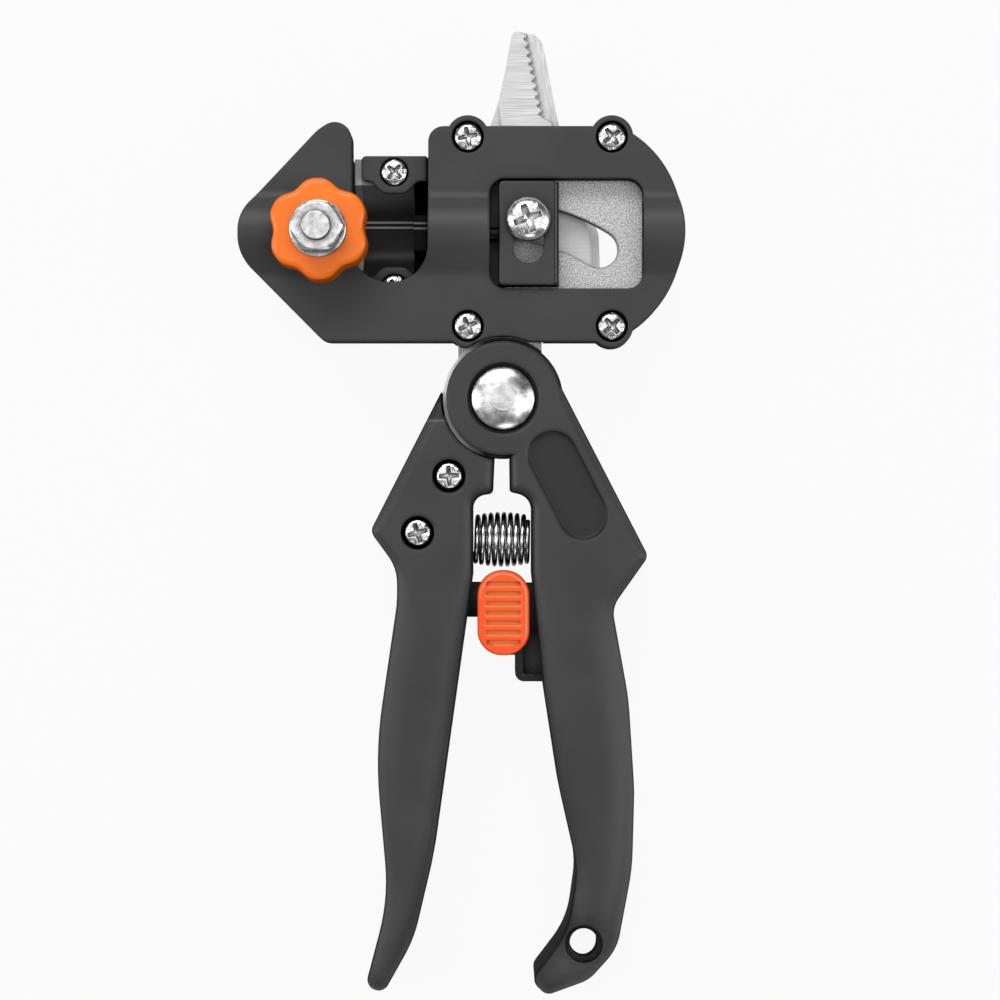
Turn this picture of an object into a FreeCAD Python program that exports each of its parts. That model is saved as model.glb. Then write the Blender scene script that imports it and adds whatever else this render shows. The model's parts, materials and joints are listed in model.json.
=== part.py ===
"""Grafting pruner: a hand tool with snipping jaws and a sliding grafting blade.

The tool lies on its back, closed. The origin is on the axis of the main pivot, in the plane of its back.
The jaws point along +Y, the grips along -Y, the nose with the knob along -X, and +Z leaves the front.
"""
import FreeCAD, Part
import math
import os
import Sketcher
from FreeCAD import Vector

doc = FreeCAD.newDocument("GraftingPruner")
sheet = doc.addObject("Spreadsheet::Sheet", "Sizes")

# Driving dimensions, in millimetres and degrees.
SIZES = {
    # stack of layers at the main pivot, from the back to the front
    "rear_hub_thickness": 9.8,
    "blade_thickness": 3.0,
    "frame_thickness": 4.2,
    "layer_gap": 0.15,
    "hub_radius": 12.5,
    "hub_gap": 1.2,
    "frame_hub_radius": 13.3,
    "blade_hub_radius": 12.2,
    "side_gap": 0.3,
    "running_gap": 0.05,
    # pivot fasteners
    "pivot_radius": 4.0,
    "dome_radius": 6.9,
    "dome_height": 2.6,
    "dome_seat_gap": 0.9,
    "dome_seat_depth": 1.3,
    "nut_seat_radius": 7.4,
    "nut_seat_depth": 6.4,
    "nut_width": 6.0,
    "nut_height": 4.0,
    "washer_radius": 6.8,
    "washer_thickness": 1.0,
    # grips
    "grip_spread": 32.0,
    "grip_reach": 131.0,
    "grip_thickness": 22.0,
    "grip_round": 2.2,
    "recess_radius": 5.4,
    "recess_depth": 1.4,
    "recess_top_x": 10.9,
    "recess_top_y": -12.6,
    "recess_low_x": 17.6,
    "recess_low_y": -25.7,
    "hole_x": 17.8,
    "hole_y": -120.0,
    "hole_radius": 3.06,
    "hole_web": 3.0,
    "hole_lean": 2.6,
    "hole_sink": 1.1,
    "hole_sink_depth": 2.5,
    # tangs and the screws that hold them
    "tang_screw_radius": 1.6,
    "tang_head_radius": 3.2,
    "tang_head_height": 2.0,
    "tang_seat_gap": 0.5,
    "tang_seat_depth": 2.4,
    "left_screw_1_x": -11.9,
    "left_screw_1_y": -17.1,
    "left_screw_2_x": -18.8,
    "left_screw_2_y": -29.6,
    "right_screw_1_x": 9.6,
    "right_screw_1_y": -17.5,
    "right_screw_2_x": 15.0,
    "right_screw_2_y": -29.5,
    # jaws
    "blade_spread": 22.0,
    "blade_reach": 82.0,
    "bevel_width": 3.1,
    "bevel_depth": 2.5,
    "jaw_thickness": 2.5,
    "tooth_depth": 1.2,
    "tooth_count": 10,
    "rivet_radius": 1.5,
    "rivet_x": 5.0,
    "rivet_low_y": 46.5,
    "rivet_pitch": 9.0,
    # drive
    "drive_reach": 39.5,
    "drive_angle": 8.0,
    "drive_travel": 24.0,
    "drive_screw_radius": 2.5,
    "drive_head_radius": 4.84,
    "drive_head_height": 2.8,
    "slot_half_width": 4.2,
    "slot_play": 0.3,
    "block_play": 0.35,
    "block_offset": 0.15,
    "sleeve_radius": 3.0,
    # casing
    "nose_reach": 57.9,
    "casing_length": 98.0,
    "casing_bottom": 12.5,
    "casing_height": 47.3,
    "casing_front": 22.0,
    "ridge_rise": 3.5,
    "ridge_half_width": 8.6,
    "wall": 2.1,
    "seam_gap": 0.1,
    "ear_radius": 3.6,
    "case_boss_radius": 4.7,
    "case_screw_radius": 1.5,
    "case_head_radius": 3.15,
    "case_head_height": 1.9,
    "case_seat_gap": 0.4,
    "case_seat_depth": 1.6,
    "case_long_screw": 14.0,
    # window and slider
    "slide_y": 36.2,
    "block_left": -0.9,
    "block_width": 13.2,
    "block_height": 22.9,
    "block_thickness": 6.0,
    "block_lip": 0.4,
    "block_tongue": 2.3,
    "tongue_thickness": 0.7,
    "block_gap": 0.3,
    "window_left": -3.0,
    "window_width": 33.8,
    "window_height": 24.2,
    "window_round": 3.4,
    "rod_radius": 1.6,
    "rod_height": 20.0,
    # blade carrier
    "carrier_left": -31.2,
    "carrier_width": 14.6,
    "carrier_height": 32.7,
    "carrier_back": 2.3,
    "carrier_front": 16.6,
    "carrier_y": 37.2,
    "channel_half_width": 10.9,
    "channel_floor": 4.6,
    "lug_length": 3.0,
    "lug_half_width": 4.0,
    "lug_top": 22.4,
    "strip_thickness": 0.8,
    "strip_left": -32.8,
    "strip_bevel": 1.3,
    "clamp_thickness": 1.8,
    "clamp_boss": 4.6,
    "clamp_screw_radius": 1.4,
    "clamp_head_radius": 2.9,
    "clamp_head_height": 1.4,
    "clamp_screw_x": -24.0,
    "clamp_screw_reach": 12.8,
    "clamp_screw_length": 7.0,
    # anvil and knob
    "anvil_face": -33.2,
    "anvil_length": 14.0,
    "anvil_chamfer": 10.0,
    "anvil_travel": 2.0,
    "anvil_gap": 0.3,
    "knob_x": -39.8,
    "knob_y": 36.0,
    "knob_radius": 10.3,
    "knob_lobe_radius": 5.6,
    "knob_lobe_rise": 1.9,
    "knob_thickness": 9.0,
    "knob_lobes": 6,
    "knob_washer_radius": 6.1,
    "knob_washer_thickness": 1.2,
    "knob_bolt_radius": 3.0,
    "knob_nut_width": 5.0,
    "knob_nut_height": 5.0,
    "bolt_end": 1.5,
    "bolt_head_width": 5.0,
    "bolt_head_height": 3.6,
    # lock
    "tab_back": 7.5,
    "tab_thickness": 3.0,
    "tab_right": 0.4,
    "tab_left": -9.5,
    "tab_top": -40.8,
    "tab_low": -48.6,
    "rail_back": 12.2,
    "rail_thickness": 2.0,
    "rail_left": -2.6,
    "rail_right": 10.5,
    "rail_top": -40.8,
    "rail_low": -56.9,
    "foot_back": 4.0,
    "foot_left": 2.7,
    "foot_top": -51.3,
    "foot_low": -62.8,
    "foot_round": 2.0,
    "foot_rim": 1.7,
    "foot_recess": 1.0,
    "button_x": 0.1,
    "button_top": -38.0,
    "button_length": 18.7,
    "button_width": 11.5,
    "button_thickness": 5.4,
    "button_ribs": 7,
    "rib_pitch": 2.15,
    "rib_width": 0.9,
    "rib_depth": 0.7,
    "lock_pin_radius": 1.5,
    "lock_head_radius": 2.4,
    "lock_head_height": 0.9,
    "lock_travel": 3.0,
    "lock_washer_thickness": 0.4,
    "lock_pin_y": -51.2,
    # return spring
    "spring_y": -31.2,
    "spring_height": 11.0,
    "spring_left": -6.68,
    "spring_right": 6.1,
    "spring_wire": 0.9,
    "spring_end_radius": 4.75,
    "spring_middle_radius": 5.75,
    "spring_leg_radius": 2.4,
    "spring_pitch": 1.42,
    # shared small details
    "edge_round": 0.5,
    "cross_half_length": 2.0,
    "cross_half_width": 0.45,
    "cross_depth": 1.0,
    "overrun": 1.0,
}

for row, (word, value) in enumerate(SIZES.items(), start=1):
    sheet.set(f"A{row}", word)
    sheet.set(f"B{row}", str(value))
    sheet.setAlias(f"B{row}", word)
doc.recompute()


def expression(text):
    """Return the text with every size's name written as a cell of the sheet."""
    words = []
    word = ""
    for sign in text + " ":
        if sign.isalnum() or sign == "_":
            word += sign
            continue
        words.append(f"Sizes.{word}" if word in SIZES else word)
        words.append(sign)
        word = ""
    return "".join(words).strip()


def measure(text):
    """Return the number that an expression of sizes gives now."""
    return float(sheet.evalExpression(expression(text)))


# Heights of the layers, as sums of the thicknesses that make them.
BLADE_BACK = "(rear_hub_thickness + layer_gap)"
BLADE_FRONT = f"({BLADE_BACK} + blade_thickness)"
FRAME_BACK = f"({BLADE_FRONT} + layer_gap)"
FRAME_FRONT = f"({FRAME_BACK} + frame_thickness)"
HUB_BACK = f"({FRAME_FRONT} + layer_gap)"
HUB_FRONT = "grip_thickness"
JAW_FRONT = f"({FRAME_BACK} + jaw_thickness)"
BLOCK_BACK = f"({FRAME_FRONT} + block_gap)"
BLOCK_FRONT = f"({BLOCK_BACK} + block_thickness)"
RIDGE_TOP = "(casing_front + ridge_rise)"
CEILING = "(casing_front - wall + layer_gap)"
ARC_CLEARANCE = "(hub_radius + hub_gap)"
REAR_RIGHT = "(0.55 * casing_length - nose_reach)"
KNOB_BACK = f"({RIDGE_TOP} + side_gap)"
KNOB_STACK = f"({KNOB_BACK} + knob_thickness + knob_washer_thickness + knob_nut_height)"
BUTTON_BACK = "(rail_back + rail_thickness + side_gap)"

# Places of the drive screw when the tool is closed.
DRIVE_X = "(drive_reach * sin(drive_angle * 1 deg))"
DRIVE_Y = "(drive_reach * cos(drive_angle * 1 deg))"


def make_body(label):
    """Add an empty body for one sub-part."""
    body = doc.addObject("PartDesign::Body", label)
    body.Label = label
    body.AllowCompound = True
    return body


def make_sketch(body, name, plane="XY_Plane", height="0"):
    """Add a sketch on one of the body's own origin planes, moved out along its normal."""
    sketch = body.newObject("Sketcher::SketchObject", f"{body.Name}_{name}")
    support = [item for item in body.Origin.OriginFeatures if item.Role == plane][0]
    sketch.AttachmentSupport = [(support, "")]
    sketch.MapMode = "FlatFace"
    sketch.setExpression("AttachmentOffset.Base.z", expression(height))
    return sketch


def constrain(sketch, kind, *places, bind=None):
    """Add one constraint, tied to an expression of sizes when it has a value."""
    if bind is None:
        sketch.addConstraint(Sketcher.Constraint(kind, *places))
        return
    value = measure(bind)
    index = sketch.addConstraint(Sketcher.Constraint(kind, *places, value))
    sketch.setExpression(f"Constraints[{index}]", expression(bind))


def fix_point(sketch, shape, end, x, y):
    """Hold one point of a sketch at an expression for each coordinate."""
    if x == "0":
        constrain(sketch, "PointOnObject", shape, end, -2)
    else:
        constrain(sketch, "DistanceX", -1, 1, shape, end, bind=x)
    if y == "0":
        constrain(sketch, "PointOnObject", shape, end, -1)
    else:
        constrain(sketch, "DistanceY", -1, 1, shape, end, bind=y)


def draw_circle(sketch, x, y, radius):
    """Draw a circle."""
    centre = Vector(measure(x), measure(y), 0)
    shape = sketch.addGeometry(Part.Circle(centre, Vector(0, 0, 1), measure(radius)))
    fix_point(sketch, shape, 3, x, y)
    constrain(sketch, "Radius", shape, bind=radius)


def draw_outline(sketch, corners):
    """Draw a closed outline of straight sides. Each corner is x, y and the radius that rounds it, or None."""
    points = [Vector(measure(x), measure(y), 0) for x, y, rounding in corners]
    count = len(corners)
    starts = []
    ends = []
    for i, (x, y, rounding) in enumerate(corners):
        before = (points[i - 1] - points[i]).normalize()
        after = (points[(i + 1) % count] - points[i]).normalize()
        setback = 0
        if rounding is not None:
            half = before.getAngle(after) / 2
            setback = measure(rounding) / math.tan(half)
        ends.append(points[i] + before * setback)
        starts.append(points[i] + after * setback)
    lines = []
    for i in range(count):
        lines.append(sketch.addGeometry(Part.LineSegment(starts[i], ends[(i + 1) % count])))
    for i, (x, y, rounding) in enumerate(corners):
        last = lines[i - 1]
        following = lines[i]
        if rounding is None:
            constrain(sketch, "Coincident", last, 2, following, 1)
            fix_point(sketch, following, 1, x, y)
            continue
        before = (points[i - 1] - points[i]).normalize()
        after = (points[(i + 1) % count] - points[i]).normalize()
        radius = measure(rounding)
        half = before.getAngle(after) / 2
        centre = points[i] + (before + after).normalize() * (radius / math.sin(half))
        turns_left = before.cross(after).z < 0
        first, second = (ends[i], starts[i]) if turns_left else (starts[i], ends[i])
        first_angle = math.atan2(first.y - centre.y, first.x - centre.x)
        second_angle = math.atan2(second.y - centre.y, second.x - centre.x)
        circle = Part.Circle(centre, Vector(0, 0, 1), radius)
        arc = sketch.addGeometry(Part.ArcOfCircle(circle, first_angle, second_angle))
        constrain(sketch, "Tangent", last, 2, arc, 1 if turns_left else 2)
        constrain(sketch, "Tangent", arc, 2 if turns_left else 1, following, 1)
        constrain(sketch, "Radius", arc, bind=rounding)
        corner = sketch.addGeometry(Part.Point(points[i]), True)
        fix_point(sketch, corner, 1, x, y)
        constrain(sketch, "PointOnObject", corner, 1, last)
        constrain(sketch, "PointOnObject", corner, 1, following)


def draw_box(sketch, left, low, right, top, rounding=None):
    """Draw a rectangle, with rounded corners if a radius is given."""
    places = [(left, low), (right, low), (right, top), (left, top)]
    draw_outline(sketch, [(x, y, rounding) for x, y in places])


def draw_slot(sketch, x1, y1, x2, y2, radius):
    """Draw a straight slot with round ends about two centres."""
    first = Vector(measure(x1), measure(y1), 0)
    second = Vector(measure(x2), measure(y2), 0)
    along = (second - first).normalize()
    side = Vector(-along.y, along.x, 0) * measure(radius)
    heading = math.atan2(side.y, side.x)
    size = measure(radius)
    up = Vector(0, 0, 1)
    start = sketch.addGeometry(Part.ArcOfCircle(Part.Circle(first, up, size), heading, heading + math.pi))
    finish = sketch.addGeometry(Part.ArcOfCircle(Part.Circle(second, up, size), heading + math.pi, heading))
    left = sketch.addGeometry(Part.LineSegment(second + side, first + side))
    right = sketch.addGeometry(Part.LineSegment(first - side, second - side))
    constrain(sketch, "Tangent", left, 2, start, 1)
    constrain(sketch, "Tangent", start, 2, right, 1)
    constrain(sketch, "Tangent", right, 2, finish, 1)
    constrain(sketch, "Tangent", finish, 2, left, 1)
    fix_point(sketch, start, 3, x1, y1)
    fix_point(sketch, finish, 3, x2, y2)
    constrain(sketch, "Radius", start, bind=radius)


def pad(body, sketch, length):
    """Raise a sketch along its normal."""
    feature = body.newObject("PartDesign::Pad", f"{sketch.Name}_pad")
    feature.Profile = sketch
    feature.setExpression("Length", expression(length))
    doc.recompute()
    return feature


def pocket(body, sketch, depth, forward=False):
    """Cut a sketch into the solid, against its normal or forward along it, and check that it cuts."""
    volume = body.Shape.Volume
    feature = body.newObject("PartDesign::Pocket", f"{sketch.Name}_cut")
    feature.Profile = sketch
    feature.Reversed = forward
    feature.setExpression("Length", expression(depth))
    doc.recompute()
    if not body.Shape.Volume < volume:
        raise RuntimeError(f"{feature.Name} cuts nothing")
    return feature


def fillet(body, radius, chosen):
    """Round the edges of the body's last feature that a test picks."""
    base = body.Tip
    names = [f"Edge{i}" for i, edge in enumerate(base.Shape.Edges, start=1) if chosen(edge)]
    feature = body.newObject("PartDesign::Fillet", f"{base.Name}_round")
    feature.Base = (base, names)
    feature.setExpression("Radius", expression(radius))
    doc.recompute()
    return feature


def lies_at(edge, height):
    """Say whether a whole edge lies at one height."""
    box = edge.BoundBox
    return abs(box.ZMin - height) + abs(box.ZMax - height) < measure("edge_round") / 100


def turn(body, name, profile, kind="Revolution"):
    """Add or cut a solid of revolution about Z. Each corner of the profile is radius, height and rounding."""
    sketch = make_sketch(body, name, "XZ_Plane")
    draw_outline(sketch, profile)
    feature = body.newObject(f"PartDesign::{kind}", f"{sketch.Name}_turn")
    feature.Profile = sketch
    feature.ReferenceAxis = (sketch, ["V_Axis"])
    feature.Angle = 360
    doc.recompute()
    return feature


def place(item, x, y, z="0"):
    """Tie an object's place to expressions of sizes."""
    item.setExpression("Placement.Base.x", expression(x))
    item.setExpression("Placement.Base.y", expression(y))
    item.setExpression("Placement.Base.z", expression(z))


def group(label, items):
    """Join separate solids of one kind into one node."""
    compound = doc.addObject("Part::Compound", label)
    compound.Label = label
    compound.Links = items
    doc.recompute()
    return compound


def cut_cross(body, height, depth="cross_depth", length="cross_half_length"):
    """Cut a cross recess into the head of a screw that stands on the Z axis."""
    arm = f"({length})"
    edge = "cross_half_width"
    sketch = make_sketch(body, "cross", height=height)
    places = [
        (arm, f"-{edge}"), (arm, edge), (edge, edge), (edge, arm), (f"-{edge}", arm), (f"-{edge}", edge),
        (f"-{arm}", edge), (f"-{arm}", f"-{edge}"), (f"-{edge}", f"-{edge}"), (f"-{edge}", f"-{arm}"),
        (edge, f"-{arm}"), (edge, f"-{edge}"),
    ]
    draw_outline(sketch, [(x, y, None) for x, y in places])
    pocket(body, sketch, depth)


def make_screw(label, shank_radius, shank_length, head_radius, head_height):
    """Make a pan-head cross screw, with the underside of its head at the origin."""
    body = make_body(label)
    turn(body, "profile", [
        ("0", f"-({shank_length})", None),
        (shank_radius, f"-({shank_length})", None),
        (shank_radius, "0", None),
        (head_radius, "0", None),
        (head_radius, head_height, f"{head_height} * 0.7"),
        ("0", head_height, None),
    ])
    cut_cross(body, head_height, f"{head_height} * 0.55", f"{head_radius} * 0.55")
    return body


def make_washer(label, outer, inner, thickness):
    """Make a flat ring that stands on the XY plane."""
    body = make_body(label)
    turn(body, "profile", [
        (inner, "0", None), (outer, "0", None), (outer, thickness, f"{thickness} / 4"),
        (inner, thickness, None),
    ])
    return body


def make_nut(label, half_width, bore, height):
    """Make a hexagon nut that stands on the XY plane, its flats half_width from the axis."""
    body = make_body(label)
    corner = f"{half_width} / cos(30 deg)"
    half_side = f"{half_width} * tan(30 deg)"
    flat = f"{half_width}"
    sketch = make_sketch(body, "hexagon")
    draw_outline(sketch, [
        (corner, "0", None), (half_side, flat, None), (f"-{half_side}", flat, None),
        (f"-{corner}", "0", None), (f"-{half_side}", f"-{flat}", None), (half_side, f"-{flat}", None),
    ])
    pad(body, sketch, height)
    turn(body, "chamfer", [
        (half_width, height, None),
        (f"({corner} + overrun)", height, None),
        (f"({corner} + overrun)", f"{height} - ({corner} + overrun - {half_width}) * tan(30 deg)", None),
    ], "Groove")
    if bore is not None:
        hole = make_sketch(body, "bore", height=height)
        draw_circle(hole, "0", "0", bore)
        pocket(body, hole, f"{height} + overrun")
    return body


def from_shares(shares, x_size, y_size, x_start="0", y_start="0"):
    """Turn a table of shares into corners: across x_size, along y_size, rounded by a share of y_size."""
    corners = []
    for across, along, rounding in shares:
        radius = f"{rounding} * {y_size}" if rounding else None
        corners.append((f"{x_start} + {across} * {x_size}", f"{y_start} + {along} * {y_size}", radius))
    return corners


def clear_of(corners, gap):
    """Move every side of an outline out by a gap: each corner goes out along the mitre of its two sides."""
    points = [Vector(measure(x), measure(y), 0) for x, y, rounding in corners]
    count = len(points)
    way = math.copysign(1, sum(points[i - 1].cross(points[i]).z for i in range(count)))
    moved = []
    for i, (x, y, rounding) in enumerate(corners):
        before = (points[i] - points[i - 1]).normalize()
        after = (points[(i + 1) % count] - points[i]).normalize()
        normals = Vector(before.y + after.y, -before.x - after.x, 0) * way
        mitre = normals / (1 + before.dot(after))
        moved.append((f"{x} + {mitre.x:.4f} * {gap}", f"{y} + {mitre.y:.4f} * {gap}", rounding))
    return moved


# Outlines as shares of the sizes that they follow: across, along, rounding.
RIGHT_GRIP_SHARES = [
    (0.041, -0.053, 0.0000), (0.047, -0.157, 0.0061), (0.198, -0.166, 0.0275),
    (0.197, -0.294, 0.0000), (0.281, -0.491, 0.4580), (0.384, -0.654, 0.4580),
    (0.511, -0.791, 0.1527), (0.450, -0.897, 0.1527), (0.191, -0.980, 0.0176),
    (0.300, -1.005, 0.0176), (0.594, -0.979, 0.0611), (0.787, -0.927, 0.0916),
    (0.891, -0.792, 0.3817), (0.906, -0.659, 0.4580), (0.866, -0.505, 0.4580),
    (0.753, -0.352, 0.0458), (1.003, -0.266, 0.0176), (0.348, 0.044, 0.0000),
    (0.125, 0.046, 0.0000),
]
LEFT_GRIP_SHARES = [
    (-0.156, 0.025, 0.0000), (-0.397, 0.025, 0.0000), (-0.916, -0.224, 0.0176),
    (-0.731, -0.286, 0.0763), (-0.731, -0.344, 0.2290), (-0.881, -0.595, 0.6870),
    (-0.791, -0.842, 0.3435), (-0.950, -0.990, 0.0183), (-0.822, -1.001, 0.0183),
    (-0.613, -0.910, 0.2290), (-0.481, -0.773, 0.4580), (-0.209, -0.298, 0.0000),
    (-0.209, -0.165, 0.0229), (-0.069, -0.160, 0.0092), (-0.050, -0.053, 0.0000),
]
RIGHT_TANG_SHARES = [
    (0.12, 0.00, 0.0), (0.26, -0.24, 0.015), (0.50, -0.29, 0.015), (0.67, -0.24, 0.015), (0.38, 0.00, 0.0),
]
LEFT_TANG_SHARES = [
    (-0.36, 0.00, 0.0), (-0.76, -0.22, 0.015), (-0.60, -0.285, 0.015), (-0.36, -0.22, 0.015), (-0.10, 0.00, 0.0),
]
BLADE_SHARES = [
    (-0.164, 0.049, 0.000), (-0.164, 0.634, 0.037), (-0.123, 0.748, 0.024),
    (-0.045, 0.811, 0.037), (0.191, 0.999, 0.010), (0.327, 0.993, 0.015),
    (0.405, 0.973, 0.037), (0.564, 0.751, 0.366), (0.973, 0.451, 0.049),
    (0.991, 0.341, 0.061), (0.350, 0.152, 0.000),
]
BEVEL_SHARES = [
    (0.309, 0.989, 0.0), (0.468, 0.751, 0.0), (0.877, 0.449, 0.0), (0.893, 0.330, 0.0),
    (1.050, 0.330, 0.0), (1.050, 1.020, 0.0), (0.309, 1.020, 0.0),
]
TOOTH_SHARES = [(0.255, 0.987, 0.0), (0.423, 0.761, 0.0)]
JAW_BACK_SHARES = [
    (-0.045, 0.541, 0.012), (-0.018, 0.744, 0.073), (-0.041, 0.811, 0.098),
    (0.027, 0.890, 0.244), (0.086, 0.983, 0.012), (0.118, 0.998, 0.009),
    (0.223, 0.991, 0.005),
]
CASING_SHARES = [
    (0.423, 0.275, 0.173), (0.423, 1.000, 0.072), (0.858, 1.000, 0.085),
    (0.955, 0.860, 0.500), (1.010, 0.510, 0.500), (0.955, 0.159, 0.500),
    (0.845, 0.000, 0.085), (0.188, 0.000, 0.074), (-0.002, 0.397, 0.211),
    (-0.001, 0.596, 0.211), (0.174, 0.981, 0.169), (0.251, 1.085, 0.078),
    (0.251, 0.275, 0.173),
]
FRAME_SHARES = [
    (0.490, -0.095, 0.000), (0.490, 0.144, 0.042), (0.596, 0.144, 0.021),
    (0.596, 0.903, 0.021), (0.476, 0.903, 0.021), (0.476, 0.975, 0.021),
    (0.851, 0.975, 0.106), (0.938, 0.790, 0.169), (0.977, 0.518, 0.211),
    (0.912, 0.170, 0.169), (0.856, 0.023, 0.085), (0.678, 0.023, 0.021),
    (0.678, -0.095, 0.000),
]
REAR_COVER_SHARES = [
    (0.550, 0.030, 0.021), (0.550, 0.985, 0.021), (0.430, 0.985, 0.072),
    (0.430, 0.260, 0.173), (0.244, 0.260, 0.173), (0.244, 1.062, 0.070),
    (0.178, 0.973, 0.169), (0.011, 0.596, 0.211), (0.010, 0.405, 0.211),
    (0.193, 0.030, 0.074),
]
CASE_SCREW_SHARES = [(0.512, 0.071, 0.0), (0.512, 0.951, 0.0), (0.835, 0.071, 0.0), (0.835, 0.951, 0.0)]

LEFT_SCREWS = [("left_screw_1_x", "left_screw_1_y"), ("left_screw_2_x", "left_screw_2_y")]
RIGHT_SCREWS = [("right_screw_1_x", "right_screw_1_y"), ("right_screw_2_x", "right_screw_2_y")]


def casing_corners(shares):
    """Place an outline of the casing, the cover or the frame by the casing's own sizes."""
    return from_shares(shares, "casing_length", "casing_height", "-nose_reach", "casing_bottom")


CASE_SCREWS = [(x, y) for x, y, rounding in casing_corners(CASE_SCREW_SHARES)]


def cut_circles(body, name, places, radius, height, depth, forward=False):
    """Cut one round hole at each of several places."""
    sketch = make_sketch(body, name, height=height)
    for x, y in places:
        draw_circle(sketch, x, y, radius)
    pocket(body, sketch, depth, forward)


def round_grip(body):
    """Round the front and back edges of a grip that lie wholly below the arc round the hub."""
    front = measure("grip_thickness")
    high = measure(f"-{ARC_CLEARANCE}")
    fillet(body, "grip_round", lambda edge: (lies_at(edge, front) or lies_at(edge, 0))
           and edge.BoundBox.YMax < high)


def make_right_handle():
    """Moulded grip with the front hub, the lock's rail and the hanging hole."""
    body = make_body("right_handle")
    grip = make_sketch(body, "grip")
    draw_outline(grip, from_shares(RIGHT_GRIP_SHARES, "grip_spread", "grip_reach"))
    pad(body, grip, "grip_thickness")
    cut_circles(body, "arc", [("0", "0")], ARC_CLEARANCE, HUB_BACK, f"{HUB_BACK} + overrun")
    round_grip(body)
    hub = make_sketch(body, "hub", height=HUB_BACK)
    draw_circle(hub, "0", "0", "hub_radius")
    pad(body, hub, f"{HUB_FRONT} - {HUB_BACK}")
    cut_circles(body, "seat", [("0", "0")], "dome_radius + dome_seat_gap", HUB_FRONT, "dome_seat_depth")
    cut_circles(body, "bore", [("0", "0")], "pivot_radius + running_gap", HUB_FRONT,
                f"{HUB_FRONT} - {HUB_BACK} + overrun")
    front = "rail_back + rail_thickness"
    rail = make_sketch(body, "rail", height="rail_back")
    draw_box(rail, "rail_left", "rail_low", "rail_right", "rail_top", "lock_pin_radius")
    pad(body, rail, "rail_thickness")
    foot = make_sketch(body, "foot", height="foot_back")
    draw_box(foot, "foot_left", "foot_low", "rail_right + foot_round", "foot_top", "foot_round")
    pad(body, foot, f"{front} - foot_back")
    tray = make_sketch(body, "tray", height=front)
    draw_box(tray, "foot_left + foot_rim", "foot_low + foot_rim", "rail_right", "foot_top", "edge_round")
    pocket(body, tray, "foot_recess")
    way = make_sketch(body, "way", height=front)
    draw_slot(way, "button_x", "lock_pin_y", "button_x", "lock_pin_y - lock_travel",
              "lock_pin_radius + running_gap")
    pocket(body, way, "rail_thickness + overrun")
    tang = make_sketch(body, "tang", height=f"{FRAME_FRONT} + running_gap")
    draw_outline(tang, clear_of(from_shares(RIGHT_TANG_SHARES, "grip_spread", "grip_reach"), "side_gap"))
    pocket(body, tang, "frame_thickness + running_gap * 2")
    thumb = make_sketch(body, "thumb", height="grip_thickness")
    draw_slot(thumb, "recess_top_x", "recess_top_y", "recess_low_x", "recess_low_y", "recess_radius")
    pocket(body, thumb, "recess_depth")
    cut_circles(body, "hole", [("hole_x", "hole_y")], "hole_radius", "grip_thickness",
                "hole_sink_depth + hole_web + overrun")
    cut_circles(body, "sink", [("hole_x", "hole_y")], "hole_radius + hole_sink", "grip_thickness",
                "hole_sink_depth")
    relief = make_sketch(body, "relief")
    draw_slot(relief, "hole_x", "hole_y", "hole_x", "hole_y - hole_lean", "hole_radius + side_gap")
    pocket(body, relief, "grip_thickness - hole_sink_depth - hole_web", forward=True)
    cut_circles(body, "screw_seats", RIGHT_SCREWS, "tang_head_radius + tang_seat_gap", "0",
                "tang_seat_depth", forward=True)
    cut_circles(body, "screw_bores", RIGHT_SCREWS, "tang_screw_radius + running_gap", "0",
                f"{FRAME_BACK}", forward=True)
    return body


def make_left_handle():
    """Moulded grip with the rear hub and the catch's tab."""
    body = make_body("left_handle")
    grip = make_sketch(body, "grip")
    draw_outline(grip, from_shares(LEFT_GRIP_SHARES, "grip_spread", "grip_reach"))
    pad(body, grip, "grip_thickness")
    cut_circles(body, "arc", [("0", "0")], ARC_CLEARANCE, "grip_thickness",
                "grip_thickness - rear_hub_thickness")
    round_grip(body)
    hub = make_sketch(body, "hub")
    draw_circle(hub, "0", "0", "hub_radius")
    pad(body, hub, "rear_hub_thickness")
    cut_circles(body, "seat", [("0", "0")], "nut_seat_radius", "0", "nut_seat_depth", forward=True)
    cut_circles(body, "bore", [("0", "0")], "pivot_radius + running_gap", "0",
                "rear_hub_thickness + overrun", forward=True)
    tab = make_sketch(body, "tab", height="tab_back")
    draw_box(tab, "tab_left", "tab_low", "tab_right", "tab_top", "edge_round")
    pad(body, tab, "tab_thickness")
    tang = make_sketch(body, "tang", height=f"{BLADE_FRONT} + running_gap")
    draw_outline(tang, clear_of(from_shares(LEFT_TANG_SHARES, "grip_spread", "grip_reach"), "side_gap"))
    pocket(body, tang, "blade_thickness + running_gap * 2")
    cut_circles(body, "screw_seats", LEFT_SCREWS, "tang_head_radius + tang_seat_gap", "grip_thickness",
                "tang_seat_depth")
    cut_circles(body, "screw_bores", LEFT_SCREWS, "tang_screw_radius + running_gap", "grip_thickness",
                f"grip_thickness - {BLADE_FRONT}")
    return body


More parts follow.
